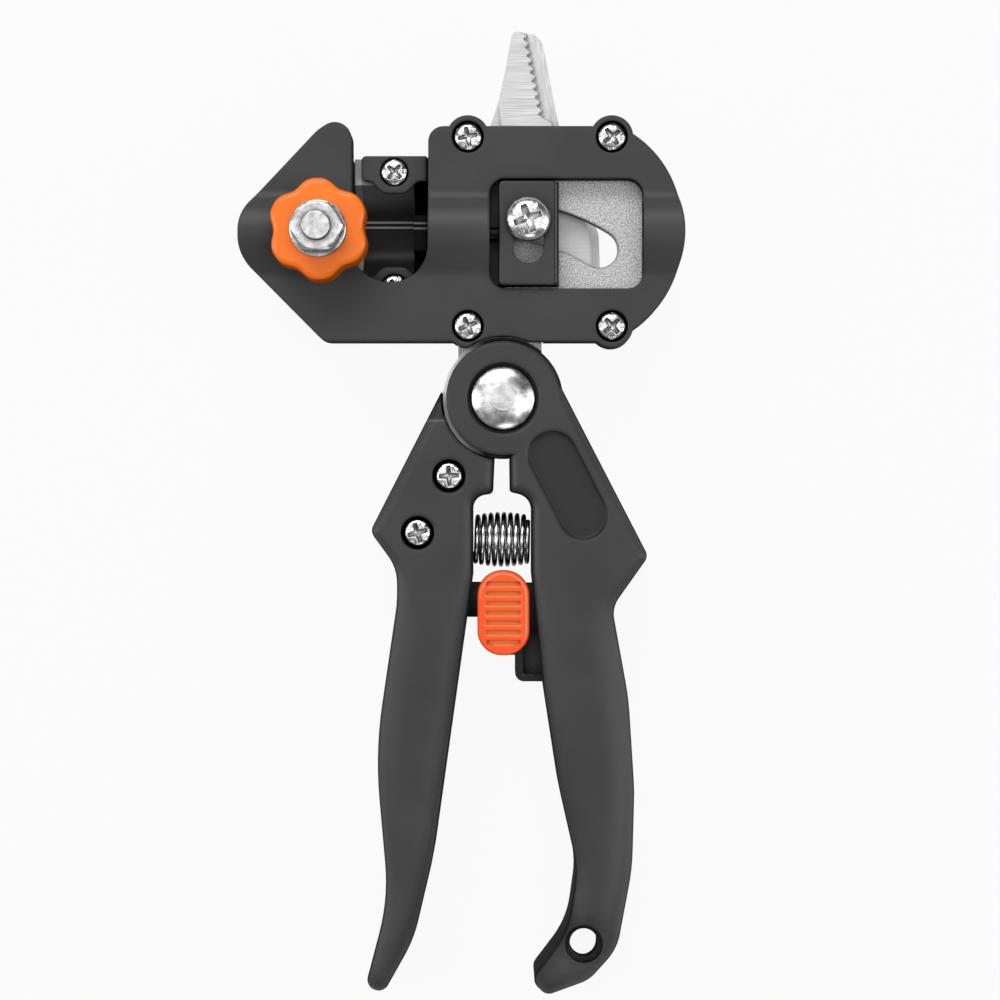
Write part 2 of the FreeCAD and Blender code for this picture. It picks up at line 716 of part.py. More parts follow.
def make_cutting_blade():
    """Ground steel blade behind the serrated jaw, with its hub and the tang in the left handle."""
    body = make_body("cutting_blade")
    outline = make_sketch(body, "outline", height=BLADE_BACK)
    draw_outline(outline, from_shares(BLADE_SHARES, "blade_spread", "blade_reach"))
    pad(body, outline, "blade_thickness")
    corners = from_shares(BEVEL_SHARES, "blade_spread", "blade_reach")
    bevel_top = make_sketch(body, "bevel_top", height=BLADE_FRONT)
    draw_outline(bevel_top, corners)
    bevel_low = make_sketch(body, "bevel_low", height=f"{BLADE_FRONT} - bevel_depth")
    draw_outline(bevel_low, [(f"{x} + bevel_width", y, None) for x, y, rounding in corners])
    ground = body.newObject("PartDesign::SubtractiveLoft", "cutting_blade_ground")
    ground.Profile = bevel_top
    ground.Sections = [bevel_low]
    ground.Ruled = True
    doc.recompute()
    hub = make_sketch(body, "hub", height=BLADE_BACK)
    draw_circle(hub, "0", "0", "blade_hub_radius")
    pad(body, hub, "blade_thickness")
    tang = make_sketch(body, "tang", height=BLADE_BACK)
    draw_outline(tang, from_shares(LEFT_TANG_SHARES, "grip_spread", "grip_reach"))
    pad(body, tang, "blade_thickness")
    cut_circles(body, "bore", [("0", "0")], "pivot_radius + running_gap", BLADE_FRONT,
                "blade_thickness + overrun")
    cut_circles(body, "drive", [(DRIVE_X, DRIVE_Y)], "drive_screw_radius", BLADE_FRONT,
                "blade_thickness + overrun")
    cut_circles(body, "screws", LEFT_SCREWS, "tang_screw_radius", BLADE_FRONT, "blade_thickness + overrun")
    return body


def make_serrated_jaw():
    """Steel jaw in front of the blade, with ten saw teeth along its right edge."""
    body = make_body("serrated_jaw")
    corners = from_shares(JAW_BACK_SHARES, "blade_spread", "blade_reach")
    (top_x, top_y, sharp), (low_x, low_y, sharp) = from_shares(TOOTH_SHARES, "blade_spread", "blade_reach")
    step_x = f"({low_x} - ({top_x})) / tooth_count"
    step_y = f"({low_y} - ({top_y})) / tooth_count"
    for i in range(int(measure("tooth_count"))):
        corners.append((f"{top_x} + {i} * {step_x}", f"{top_y} + {i} * {step_y}", sharp))
        corners.append((f"{top_x} + {i + 0.5} * {step_x} - tooth_depth", f"{top_y} + {i + 0.5} * {step_y}",
                        sharp))
    corners.append((low_x, low_y, sharp))
    corners.append(("0.5 * blade_spread", "0.75 * blade_reach", None))
    corners.append(("0.5 * blade_spread", "0.541 * blade_reach", None))
    outline = make_sketch(body, "outline", height=FRAME_BACK)
    draw_outline(outline, corners)
    pad(body, outline, "jaw_thickness")
    cut_circles(body, "rivets", [("rivet_x", "rivet_low_y"), ("rivet_x", "rivet_low_y + rivet_pitch")],
                "rivet_radius", JAW_FRONT, "jaw_thickness + overrun")
    return body


def make_jaw_rivets():
    """Two rivets through the serrated jaw and the frame."""
    rivets = []
    for i in range(2):
        body = make_body(f"jaw_rivet_{i + 1}")
        turn(body, "profile", [("0", "0", None), ("rivet_radius", "0", None),
                               ("rivet_radius", "frame_thickness", None), ("0", "frame_thickness", None)])
        place(body, "rivet_x", f"rivet_low_y + {i} * rivet_pitch", FRAME_BACK)
        rivets.append(body)
    return group("jaw_rivets", rivets)


def make_main_frame():
    """Cast plate with the arc slot, the ears for the casing's screws and a tang in the right handle."""
    body = make_body("main_frame")
    plate = make_sketch(body, "plate", height=FRAME_BACK)
    draw_outline(plate, casing_corners(FRAME_SHARES))
    pad(body, plate, "frame_thickness")
    ears = make_sketch(body, "ears_round", height=FRAME_BACK)
    for x, y in CASE_SCREWS:
        draw_circle(ears, x, y, "ear_radius")
    pad(body, ears, "frame_thickness")
    hub = make_sketch(body, "hub", height=FRAME_BACK)
    draw_circle(hub, "0", "0", "frame_hub_radius")
    pad(body, hub, "frame_thickness")
    tang = make_sketch(body, "tang", height=FRAME_BACK)
    draw_outline(tang, from_shares(RIGHT_TANG_SHARES, "grip_spread", "grip_reach"))
    pad(body, tang, "frame_thickness")
    cut_circles(body, "bore", [("0", "0")], "pivot_radius + running_gap", FRAME_FRONT,
                "frame_thickness + overrun")
    cut_circles(body, "ears", CASE_SCREWS, "case_screw_radius + running_gap", FRAME_FRONT,
                "frame_thickness + overrun")
    cut_circles(body, "tang_screws", RIGHT_SCREWS, "tang_screw_radius", FRAME_BACK,
                "frame_thickness * 0.8", forward=True)
    cut_circles(body, "rivets", [("rivet_x", "rivet_low_y"), ("rivet_x", "rivet_low_y + rivet_pitch")],
                "rivet_radius", FRAME_FRONT, "frame_thickness + overrun")
    seat = make_sketch(body, "jaw_seat", height=FRAME_BACK)
    draw_box(seat, "-0.055 * blade_spread", "0.538 * blade_reach", "0.51 * blade_spread",
             "casing_bottom + casing_height", None)
    pocket(body, seat, "jaw_thickness + running_gap", forward=True)
    slot = make_sketch(body, "slot", height=FRAME_FRONT)
    draw_arc_slot(slot)
    pocket(body, slot, "frame_thickness + overrun")
    return body


def draw_arc_slot(sketch):
    """Draw the slot that the drive screw sweeps, as an arc about the pivot with round ends."""
    reach = measure("drive_reach")
    half = measure("slot_half_width")
    up = Vector(0, 0, 1)
    origin = Vector(0, 0, 0)
    start = math.radians(90 - measure("drive_angle - slot_play * 5"))
    finish = math.radians(90 - measure("drive_angle + drive_travel + slot_play * 2"))
    first = Vector(reach * math.cos(start), reach * math.sin(start), 0)
    last = Vector(reach * math.cos(finish), reach * math.sin(finish), 0)
    outer = sketch.addGeometry(Part.ArcOfCircle(Part.Circle(origin, up, reach + half), finish, start))
    inner = sketch.addGeometry(Part.ArcOfCircle(Part.Circle(origin, up, reach - half), finish, start))
    first_cap = sketch.addGeometry(Part.ArcOfCircle(Part.Circle(first, up, half), start, start + math.pi))
    last_cap = sketch.addGeometry(Part.ArcOfCircle(Part.Circle(last, up, half), finish + math.pi, finish))
    constrain(sketch, "Coincident", outer, 3, -1, 1)
    constrain(sketch, "Coincident", inner, 3, -1, 1)
    constrain(sketch, "Tangent", outer, 2, first_cap, 1)
    constrain(sketch, "Tangent", first_cap, 2, inner, 2)
    constrain(sketch, "Tangent", inner, 1, last_cap, 1)
    constrain(sketch, "Tangent", last_cap, 2, outer, 1)
    angle = "(drive_angle - slot_play * 5) * 1 deg"
    fix_point(sketch, first_cap, 3, f"drive_reach * sin({angle})", f"drive_reach * cos({angle})")
    constrain(sketch, "Radius", first_cap, bind="slot_half_width")
    constrain(sketch, "DistanceX", -1, 1, last_cap, 3,
              bind="drive_reach * sin((drive_angle + drive_travel + slot_play * 2) * 1 deg)")


def make_front_casing():
    """Moulded C-shaped cover with its ridge, window, bosses, throat and nose."""
    body = make_body("front_casing")
    outline = make_sketch(body, "outline", height=f"{FRAME_BACK}")
    draw_outline(outline, casing_corners(CASING_SHARES))
    pad(body, outline, f"{RIDGE_TOP} - {FRAME_BACK}")
    flanks = make_sketch(body, "flanks", "YZ_Plane", height="-nose_reach - wall")
    side = "ridge_half_width"
    draw_outline(flanks, [
        ("casing_bottom - overrun", "casing_front", None),
        (f"slide_y - {side}", "casing_front", "ridge_rise"),
        (f"slide_y - {side} * 0.35", RIDGE_TOP, f"{side} * 1.2"),
        (f"slide_y + {side} * 0.35", RIDGE_TOP, f"{side} * 1.2"),
        (f"slide_y + {side}", "casing_front", "ridge_rise"),
        ("casing_bottom + casing_height * 1.1", "casing_front", None),
        ("casing_bottom + casing_height * 1.1", f"{RIDGE_TOP} + overrun", None),
        ("casing_bottom - overrun", f"{RIDGE_TOP} + overrun", None),
    ])
    pocket(body, flanks, "casing_length + wall * 4", forward=True)
    bosses = make_sketch(body, "bosses", height=f"{FRAME_BACK}")
    for x, y in CASE_SCREWS:
        draw_circle(bosses, x, y, "case_boss_radius")
    pad(body, bosses, f"casing_front - {FRAME_BACK}")
    seat = make_sketch(body, "frame_seat", height=FRAME_BACK)
    draw_outline(seat, clear_of(casing_corners(FRAME_SHARES), "side_gap"))
    pocket(body, seat, "frame_thickness + running_gap", forward=True)
    cut_circles(body, "ear_seats", CASE_SCREWS, "ear_radius + side_gap", FRAME_BACK,
                "frame_thickness + running_gap", forward=True)
    tunnel = make_sketch(body, "tunnel", height=FRAME_BACK)
    draw_outline(tunnel, chamber_corners("block_left"))
    pocket(body, tunnel, f"{CEILING} - {FRAME_BACK}", forward=True)
    channel = make_sketch(body, "channel", height=FRAME_BACK)
    draw_box(channel, "carrier_left + carrier_width - lug_length - side_gap", "slide_y - lug_half_width - side_gap",
             "block_left", "slide_y + lug_half_width + side_gap")
    pocket(body, channel, f"lug_top + side_gap - {FRAME_BACK}", forward=True)
    window = make_sketch(body, "window", height=FRAME_BACK)
    draw_box(window, "window_left", "slide_y - window_height / 2", "window_left + window_width",
             "slide_y + window_height / 2", "window_round")
    pocket(body, window, f"{RIDGE_TOP} + overrun", forward=True)
    gate = make_sketch(body, "jaw_gate", height=FRAME_BACK)
    draw_box(gate, "-0.06 * blade_spread", "0.53 * blade_reach", "0.52 * blade_spread",
             "casing_bottom + casing_height + overrun")
    pocket(body, gate, "jaw_thickness + running_gap", forward=True)
    cut_circles(body, "hub_notch", [("0", "0")], ARC_CLEARANCE, FRAME_BACK, f"{RIDGE_TOP}", forward=True)
    cut_circles(body, "screw_seats", CASE_SCREWS, "case_head_radius + case_seat_gap", "casing_front",
                "case_seat_depth")
    cut_circles(body, "screw_bores", CASE_SCREWS, "case_screw_radius + running_gap", "casing_front",
                f"casing_front - {FRAME_BACK} + overrun")
    bolt = make_sketch(body, "bolt_way", height=RIDGE_TOP)
    draw_slot(bolt, "knob_x", "knob_y", "knob_x - anvil_travel", "knob_y", "knob_bolt_radius + side_gap")
    pocket(body, bolt, f"{RIDGE_TOP} - {FRAME_BACK} + overrun")
    return body


def chamber_corners(right):
    """Outline of the hollow for the anvil and the blade carrier, as far as a right end."""
    half = "(carrier_height / 2 + side_gap)"
    back = "(anvil_face - anvil_length - anvil_travel - side_gap)"
    return [
        (back, f"carrier_y - {half} + anvil_chamfer", None),
        (f"{back} + anvil_chamfer", f"carrier_y - {half}", None),
        (right, f"carrier_y - {half}", None),
        (right, f"carrier_y + {half}", None),
        (f"{back} + anvil_chamfer", f"carrier_y + {half}", None),
        (back, f"carrier_y + {half} - anvil_chamfer", None),
    ]


def make_rear_cover():
    """Moulded shell behind the nose, the throat and the slide, with the guide for the blade carrier."""
    body = make_body("rear_cover")
    outline = make_sketch(body, "outline")
    draw_outline(outline, casing_corners(REAR_COVER_SHARES))
    height = f"({FRAME_BACK} - seam_gap)"
    pad(body, outline, height)
    ears = make_sketch(body, "ears")
    for x, y in CASE_SCREWS[:2]:
        draw_circle(ears, x, y, "ear_radius")
    pad(body, ears, height)
    fillet(body, "edge_round", lambda edge: lies_at(edge, 0))
    chamber = make_sketch(body, "chamber", height=height)
    draw_outline(chamber, chamber_corners(f"{REAR_RIGHT} + overrun"))
    pocket(body, chamber, f"{height} - carrier_back + side_gap")
    cut_circles(body, "screws", CASE_SCREWS[:2], "case_screw_radius", height, "case_long_screw - frame_thickness")
    return body


def make_casing_screws():
    """Two long screws that reach the rear cover and two short ones that end in the frame's ears."""
    screws = []
    seat = "casing_front - case_seat_depth"
    for i, (x, y) in enumerate(CASE_SCREWS, start=1):
        reach = "case_long_screw" if i < 3 else f"{seat} - {FRAME_BACK}"
        body = make_screw(f"casing_screw_{i}", "case_screw_radius", reach, "case_head_radius", "case_head_height")
        place(body, x, y, seat)
        screws.append(body)
    return group("casing_screws", screws)


def make_pivot_bolt():
    """Domed bolt through both hubs and both plates."""
    body = make_body("pivot_bolt")
    turn(body, "profile", [
        ("0", "edge_round", None),
        ("pivot_radius", "edge_round", None),
        ("pivot_radius", f"{HUB_FRONT} - dome_seat_depth", None),
        ("dome_radius", f"{HUB_FRONT} - dome_seat_depth", None),
        ("dome_radius", f"{HUB_FRONT} - dome_seat_depth + dome_height", "dome_height * 0.8"),
        ("0", f"{HUB_FRONT} - dome_seat_depth + dome_height", None),
    ])
    return body


def make_pivot_washer():
    """Washer between the rear hub and the pivot's nut."""
    body = make_washer("pivot_washer", "washer_radius", "pivot_radius + running_gap", "washer_thickness")
    place(body, "0", "0", "nut_seat_depth - washer_thickness")
    return body


def make_pivot_nut():
    """Hexagon nut sunk in the rear hub."""
    body = make_nut("pivot_nut", "nut_width", "pivot_radius + running_gap", "nut_height")
    place(body, "0", "0", "nut_seat_depth - washer_thickness - nut_height")
    return body


def make_left_handle_screws():
    """Two cross screws that hold the blade's tang, from the front."""
    screws = []
    seat = "grip_thickness - tang_seat_depth"
    for i, (x, y) in enumerate(LEFT_SCREWS, start=1):
        body = make_screw(f"left_handle_screw_{i}", "tang_screw_radius", f"{seat} - {BLADE_BACK}",
                          "tang_head_radius", "tang_head_height")
        place(body, x, y, seat)
        screws.append(body)
    return group("left_handle_screws", screws)


def make_right_handle_screws():
    """Two cross screws that hold the frame's tang, from behind."""
    screws = []
    for i, (x, y) in enumerate(RIGHT_SCREWS, start=1):
        body = make_screw(f"right_handle_screw_{i}", "tang_screw_radius",
                          f"{FRAME_BACK} + frame_thickness * 0.6 - tang_seat_depth",
                          "tang_head_radius", "tang_head_height")
        body.Placement.Rotation = FreeCAD.Rotation(Vector(1, 0, 0), 180)
        place(body, x, y, "tang_seat_depth")
        screws.append(body)
    return group("right_handle_screws", screws)


def make_drive_screw():
    """Large pan-head cross screw in the blade, which drives the slider block."""
    under = f"({BLOCK_FRONT} + running_gap * 2)"
    body = make_screw("drive_screw", "drive_screw_radius", f"{under} - {BLADE_BACK}", "drive_head_radius",
                      "drive_head_height")
    place(body, DRIVE_X, DRIVE_Y, under)
    return body


def make_drive_sleeve():
    """Stepped sleeve on the drive screw: wide in the frame's slot, narrow in the slider's slot."""
    body = make_body("drive_sleeve")
    under = f"({BLOCK_FRONT} + running_gap * 2)"
    turn(body, "profile", [
        ("drive_screw_radius", BLADE_FRONT, None),
        ("slot_half_width - slot_play", BLADE_FRONT, None),
        ("slot_half_width - slot_play", FRAME_FRONT, None),
        ("sleeve_radius", FRAME_FRONT, None),
        ("sleeve_radius", under, None),
        ("drive_screw_radius", under, None),
    ])
    place(body, DRIVE_X, DRIVE_Y)
    return body


def make_slider_block():
    """Moulded block in the window, with an upright slot for the drive sleeve."""
    body = make_body("slider_block")
    outline = make_sketch(body, "outline", height=BLOCK_BACK)
    low = "slide_y - block_height / 2"
    high = "slide_y + block_height / 2"
    draw_box(outline, "block_left", low, "block_left + block_width - block_lip", high, "edge_round * 2")
    pad(body, outline, "block_thickness")
    front = measure(BLOCK_FRONT)
    fillet(body, "edge_round", lambda edge: lies_at(edge, front))
    lip = make_sketch(body, "lip", height=BLOCK_BACK)
    draw_box(lip, "block_left + block_width / 2", low, "block_left + block_width", high)
    pad(body, lip, "block_thickness / 2")
    tongue = make_sketch(body, "tongue", height=BLOCK_BACK)
    draw_box(tongue, "block_left - block_tongue", low, "block_left + block_lip", high)
    pad(body, tongue, "tongue_thickness")
    slot = make_sketch(body, "slot", height=BLOCK_FRONT)
    middle = f"{DRIVE_X} + block_offset"
    draw_slot(slot, middle, f"{DRIVE_Y} + slot_play", middle,
              "drive_reach * cos((drive_angle + drive_travel) * 1 deg) - slot_play * 2",
              "sleeve_radius + block_play")
    pocket(body, slot, "block_thickness + overrun")
    return body


def make_slider_rod():
    """Steel rod under the ridge that joins the slider block to the blade carrier."""
    body = make_body("slider_rod")
    section = make_sketch(body, "section", "YZ_Plane", height="carrier_left + carrier_width")
    draw_circle(section, "slide_y", "rod_height", "rod_radius")
    pad(body, section, "block_left - carrier_left - carrier_width")
    return body


def strip_corners(inset, foot):
    """One side of the grafting blade's U, from its far flange to its near one, looking along X."""
    side = f"(channel_half_width - {inset})"
    return [
        (f"carrier_y - {side}", f"carrier_front + {foot}", None),
        (f"carrier_y - {side} * 0.7", f"channel_floor + {foot}", "channel_floor * 1.2"),
        (f"carrier_y + {side} * 0.7", f"channel_floor + {foot}", "channel_floor * 1.2"),
        (f"carrier_y + {side}", f"carrier_front + {foot}", None),
    ]


def make_blade_carrier():
    """Block that slides behind the casing, with the channel that backs the grafting blade."""
    body = make_body("blade_carrier")
    half = "carrier_height / 2"
    section = make_sketch(body, "section", "YZ_Plane", height="carrier_left")
    draw_outline(section, [
        (f"carrier_y + {half}", "carrier_front", None),
        (f"carrier_y + {half}", "carrier_back", "edge_round"),
        (f"carrier_y - {half}", "carrier_back", "edge_round"),
        (f"carrier_y - {half}", "carrier_front", None),
    ] + strip_corners("0", "0"))
    pad(body, section, "carrier_width")
    lug = make_sketch(body, "lug", "YZ_Plane", height="carrier_left + carrier_width - lug_length")
    draw_box(lug, "slide_y - lug_half_width", "carrier_back + edge_round", "slide_y + lug_half_width", "lug_top",
             "edge_round")
    pad(body, lug, "lug_length")
    for i, side in enumerate(("-", "")):
        cut_circles(body, f"screw_{i}", [("clamp_screw_x", f"carrier_y + {side}clamp_screw_reach")],
                    "clamp_screw_radius", "carrier_front", "clamp_screw_length")
    return body


def make_grafting_blade():
    """Steel strip bent to a U about the X axis, its cutting edge towards the anvil."""
    body = make_body("grafting_blade")
    section = make_sketch(body, "section", "YZ_Plane", height="strip_left")
    outer = strip_corners("0", "0")
    inner = strip_corners("strip_thickness", "strip_thickness")
    end = "(carrier_height / 2 - edge_round)"
    draw_outline(section, [(f"carrier_y - {end}", "carrier_front", None)] + outer + [
        (f"carrier_y + {end}", "carrier_front", None),
        (f"carrier_y + {end}", "carrier_front + strip_thickness", None),
    ] + inner[::-1] + [(f"carrier_y - {end}", "carrier_front + strip_thickness", None)])
    pad(body, section, "carrier_left + carrier_width - lug_length - side_gap - strip_left")
    for i, side in enumerate(("-", "")):
        cut_circles(body, f"screw_{i}", [("clamp_screw_x", f"carrier_y + {side}clamp_screw_reach")],
                    "clamp_screw_radius + running_gap", "carrier_front + strip_thickness",
                    "strip_thickness + overrun")
    return body


def make_clamp(label, side):
    """Bar with a round boss that presses one flange of the grafting blade onto the carrier."""
    body = make_body(label)
    back = "carrier_front + strip_thickness"
    far = f"carrier_y {side} carrier_height / 2"
    near = f"carrier_y {side} channel_half_width"
    boss = f"carrier_y {side} (clamp_screw_reach - clamp_boss)"
    bar = make_sketch(body, "bar", height=back)
    draw_outline(bar, [
        ("carrier_left", far, "edge_round * 2"),
        ("carrier_left", near, "edge_round * 2"),
        ("clamp_screw_x - clamp_boss * 1.1", near, "clamp_boss / 2"),
        ("clamp_screw_x - clamp_boss * 0.55", boss, "clamp_boss * 0.55"),
        ("clamp_screw_x + clamp_boss * 0.55", boss, "clamp_boss * 0.55"),
        ("clamp_screw_x + clamp_boss * 1.1", near, "clamp_boss / 2"),
        ("carrier_left + carrier_width - side_gap", near, None),
        ("carrier_left + carrier_width - side_gap", far, None),
    ])
    pad(body, bar, "clamp_thickness")
    place_y = f"carrier_y {side} clamp_screw_reach"
    cut_circles(body, "seat", [("clamp_screw_x", place_y)], "clamp_head_radius + side_gap",
                f"{back} + clamp_thickness", "clamp_thickness / 2")
    cut_circles(body, "bore", [("clamp_screw_x", place_y)], "clamp_screw_radius + running_gap",
                f"{back} + clamp_thickness", "clamp_thickness + overrun")
    return body


def make_clamp_screws():
    """Two cross screws through the clamps and the blade's flanges into the carrier."""
    screws = []
    seat = "carrier_front + strip_thickness + clamp_thickness / 2"
    for i, side in enumerate("-+", start=1):
        body = make_screw(f"clamp_screw_{i}", "clamp_screw_radius", "clamp_screw_length", "clamp_head_radius",
                          "clamp_head_height")
        place(body, "clamp_screw_x", f"carrier_y {side} clamp_screw_reach", seat)
        screws.append(body)
    return group("clamp_screws", screws)


def make_anvil():
    """Block inside the nose that the grafting blade closes on."""
    body = make_body("anvil")
    outline = make_sketch(body, "outline", height="carrier_back")
    half = "carrier_height / 2"
    back = "(anvil_face - anvil_length)"
    draw_outline(outline, [
        (back, f"carrier_y - {half} + anvil_chamfer", None),
        (f"{back} + anvil_chamfer", f"carrier_y - {half}", None),
        ("anvil_face", f"carrier_y - {half}", "edge_round"),
        ("anvil_face", f"carrier_y + {half}", "edge_round"),
        (f"{back} + anvil_chamfer", f"carrier_y + {half}", None),
        (back, f"carrier_y + {half} - anvil_chamfer", None),
    ])
    pad(body, outline, f"{CEILING} - side_gap - carrier_back")
    cut_circles(body, "bore", [("knob_x", "knob_y")], "knob_bolt_radius + running_gap", CEILING, CEILING)
    head = make_sketch(body, "bolt_head", height="carrier_back")
    edge = "(bolt_head_width + side_gap)"
    draw_box(head, f"knob_x - {edge}", f"knob_y - {edge} * 1.16", f"knob_x + {edge}", f"knob_y + {edge} * 1.16")
    pocket(body, head, "bolt_head_height + side_gap", forward=True)
    return body


def make_anvil_bolt():
    """Hexagon-headed bolt from inside the anvil, through the nose, the knob and the nut."""
    body = make_nut("anvil_bolt", "bolt_head_width", None, "bolt_head_height")
    shank = make_sketch(body, "shank", height="bolt_head_height")
    draw_circle(shank, "0", "0", "knob_bolt_radius")
    pad(body, shank, f"{KNOB_STACK} + bolt_end - bolt_head_height - carrier_back - running_gap")
    body.Placement.Rotation = FreeCAD.Rotation(Vector(0, 0, 1), 90)
    place(body, "knob_x", "knob_y", "carrier_back + running_gap")
    return body


def make_knob():
    """Six-lobed knob that clamps the anvil."""
    body = make_body("knob")
    corners = []
    for i in range(int(measure("knob_lobes"))):
        lobe = f"(90 + 360 * {i} / knob_lobes) * 1 deg"
        valley = f"(90 + 360 * {i + 0.5} / knob_lobes) * 1 deg"
        tip = "(knob_radius + knob_lobe_rise)"
        corners.append((f"{tip} * cos({lobe})", f"{tip} * sin({lobe})", "knob_lobe_radius"))
        corners.append((f"knob_radius * cos({valley})", f"knob_radius * sin({valley})", "knob_radius * 2"))
    base = make_sketch(body, "base")
    draw_outline(base, corners)
    pad(body, base, "knob_thickness")
    top = measure("knob_thickness")
    fillet(body, "edge_round", lambda edge: lies_at(edge, top))
    bore = make_sketch(body, "bore", height="knob_thickness")
    draw_circle(bore, "0", "0", "knob_bolt_radius + running_gap")
    pocket(body, bore, "knob_thickness + overrun")
    place(body, "knob_x", "knob_y", KNOB_BACK)
    return body


def make_knob_washer():
    """Washer between the knob and its nut."""
    body = make_washer("knob_washer", "knob_washer_radius", "knob_bolt_radius + running_gap",
                       "knob_washer_thickness")
    place(body, "knob_x", "knob_y", f"{KNOB_BACK} + knob_thickness")
    return body


def make_knob_nut():
    """Hexagon nut on top of the knob."""
    body = make_nut("knob_nut", "knob_nut_width", "knob_bolt_radius + running_gap", "knob_nut_height")
    place(body, "knob_x", "knob_y", f"{KNOB_BACK} + knob_thickness + knob_washer_thickness")
    return body


def make_lock_button():
    """Ribbed thumb slide of the lock."""
    body = make_body("lock_button")
    outline = make_sketch(body, "outline", height=BUTTON_BACK)
    half = "button_width / 2"
    draw_box(outline, f"button_x - {half}", "button_top - button_length", f"button_x + {half}", "button_top",
             f"{half} * 0.95")
    pad(body, outline, "button_thickness")
    front = measure(f"{BUTTON_BACK} + button_thickness")
    fillet(body, "edge_round", lambda edge: lies_at(edge, front))
    ribs = make_sketch(body, "ribs", height=f"{BUTTON_BACK} + button_thickness")
    for i in range(int(measure("button_ribs"))):
        middle = f"(button_top - button_length / 2 + ({i} - (button_ribs - 1) / 2) * rib_pitch)"
        draw_box(ribs, f"button_x - {half} * 0.66", f"{middle} - rib_width / 2", f"button_x + {half} * 0.66",
                 f"{middle} + rib_width / 2")
    pocket(body, ribs, "rib_depth")
    cut_circles(body, "bore", [("button_x", "lock_pin_y")], "lock_pin_radius", BUTTON_BACK,
                "button_thickness / 2", forward=True)
    return body


def make_lock_pin():
    """Headed pin from behind the rail into the lock button."""
    body = make_body("lock_pin")
    head_back = "(rail_back - running_gap - lock_washer_thickness - lock_head_height)"
    turn(body, "profile", [
        ("0", head_back, None),
        ("lock_head_radius", head_back, "lock_head_height / 3"),
        ("lock_head_radius", f"{head_back} + lock_head_height", None),
        ("lock_pin_radius", f"{head_back} + lock_head_height", None),
        ("lock_pin_radius", f"{BUTTON_BACK} + button_thickness / 2", None),
        ("0", f"{BUTTON_BACK} + button_thickness / 2", None),
    ])
    place(body, "button_x", "lock_pin_y")
    return body


def make_lock_washer():
    """Thin washer between the rail and the lock pin's head."""
    body = make_washer("lock_washer", "lock_head_radius", "lock_pin_radius", "lock_washer_thickness")
    place(body, "button_x", "lock_pin_y", "rail_back - running_gap - lock_washer_thickness")
    return body


def biarc(start, heading, finish, arrival):
    """Join two points with given headings by two arcs that meet smoothly, as two edges."""
    chord = finish - start
    both = heading + arrival
    spread = 2 * (1 - heading.dot(arrival))
    lean = chord.dot(both)
    reach = (-lean + math.sqrt(lean * lean + spread * chord.dot(chord))) / spread
    joint = (start + heading * reach + finish - arrival * reach) * 0.5
    return [bend(start, heading, joint), bend(finish, arrival * -1, joint)[::-1]]


def bend(start, heading, finish):
    """Three points of the arc that leaves start along a heading and ends at finish."""
    chord = finish - start
    angle = heading.getAngle(chord)
    between = (heading * chord.Length + chord).normalize()
    middle = start + between * (chord.Length / 2 / math.cos(angle / 2))
    return [start, middle, finish]


def make_return_spring():
    """Barrel spring between the grips, one wire with a straight leg at each end."""
    wire = measure("spring_wire")
    left = measure("spring_left")
    right = measure("spring_right")
    pitch = measure("spring_pitch")
    end_radius = measure("spring_end_radius")
    middle_radius = measure("spring_middle_radius")
    leg_radius = measure("spring_leg_radius")
    centre = Vector(0, measure("spring_y"), measure("spring_height"))
    length = right - left
    rise = wire * 0.9
    turns = (length - 2 * wire - 2 * rise) / pitch

    def at(across, radius, turn_angle):
        return centre + Vector(across, radius * math.cos(turn_angle), radius * math.sin(turn_angle))

    def coil(share):
        across = left + wire + rise + share * turns * pitch
        swell = 1 - (2 * share - 1) ** 2
        radius = end_radius + (middle_radius - end_radius) * swell
        return at(across, radius, 2 * math.pi * share * turns)

    quarters = int(math.ceil(turns * 4))
    step = 1 / quarters
    tiny = step / 1000
    points = [coil(i * step) for i in range(quarters + 1)]
    headings = [(coil(i * step + tiny) - coil(i * step - tiny)).normalize() for i in range(quarters + 1)]
    along = Vector(1, 0, 0)
    last_angle = 2 * math.pi * turns
    first_leg = at(left, leg_radius, -math.pi)
    last_leg = at(right, leg_radius, last_angle + math.pi)
    half_radius = (leg_radius + end_radius) / 2
    first_rise = at(left + wire + rise * 0.8, half_radius, -math.pi / 2)
    last_rise = at(right - wire - rise * 0.8, half_radius, last_angle + math.pi / 2)
    first_heading = (Vector(0, math.sin(math.pi / 2), math.cos(math.pi / 2)) + along * 0.1
                     + (at(0, 1, -math.pi / 2) - centre) * 0.6).normalize()
    last_heading = (Vector(0, -math.sin(last_angle + math.pi / 2), math.cos(last_angle + math.pi / 2))
                    + along * 0.1 - (at(0, 1, last_angle + math.pi / 2) - centre) * 0.6).normalize()
    stations = [(first_leg + along * wire, along), (first_rise, first_heading)]
    stations += list(zip(points, headings))
    stations += [(last_rise, last_heading), (last_leg - along * wire, along)]
    arcs = []
    for (start, heading), (finish, arrival) in zip(stations, stations[1:]):
        arcs += biarc(start, heading, finish, arrival)
    edges = [Part.LineSegment(first_leg, first_leg + along * wire).toShape()]
    edges += [Part.Arc(*arc).toShape() for arc in arcs]
    edges.append(Part.LineSegment(last_leg - along * wire, last_leg).toShape())
    path = Part.Wire(edges)
    ring = Part.Wire([Part.makeCircle(wire / 2, first_leg, along)])
    shell = path.makePipeShell([ring], True, False)
    spring = doc.addObject("Part::Feature", "return_spring")
    spring.Label = "return_spring"
    spring.Shape = shell
    spring.Placement = FreeCAD.Placement()
    check_wire(path, wire)
    return spring


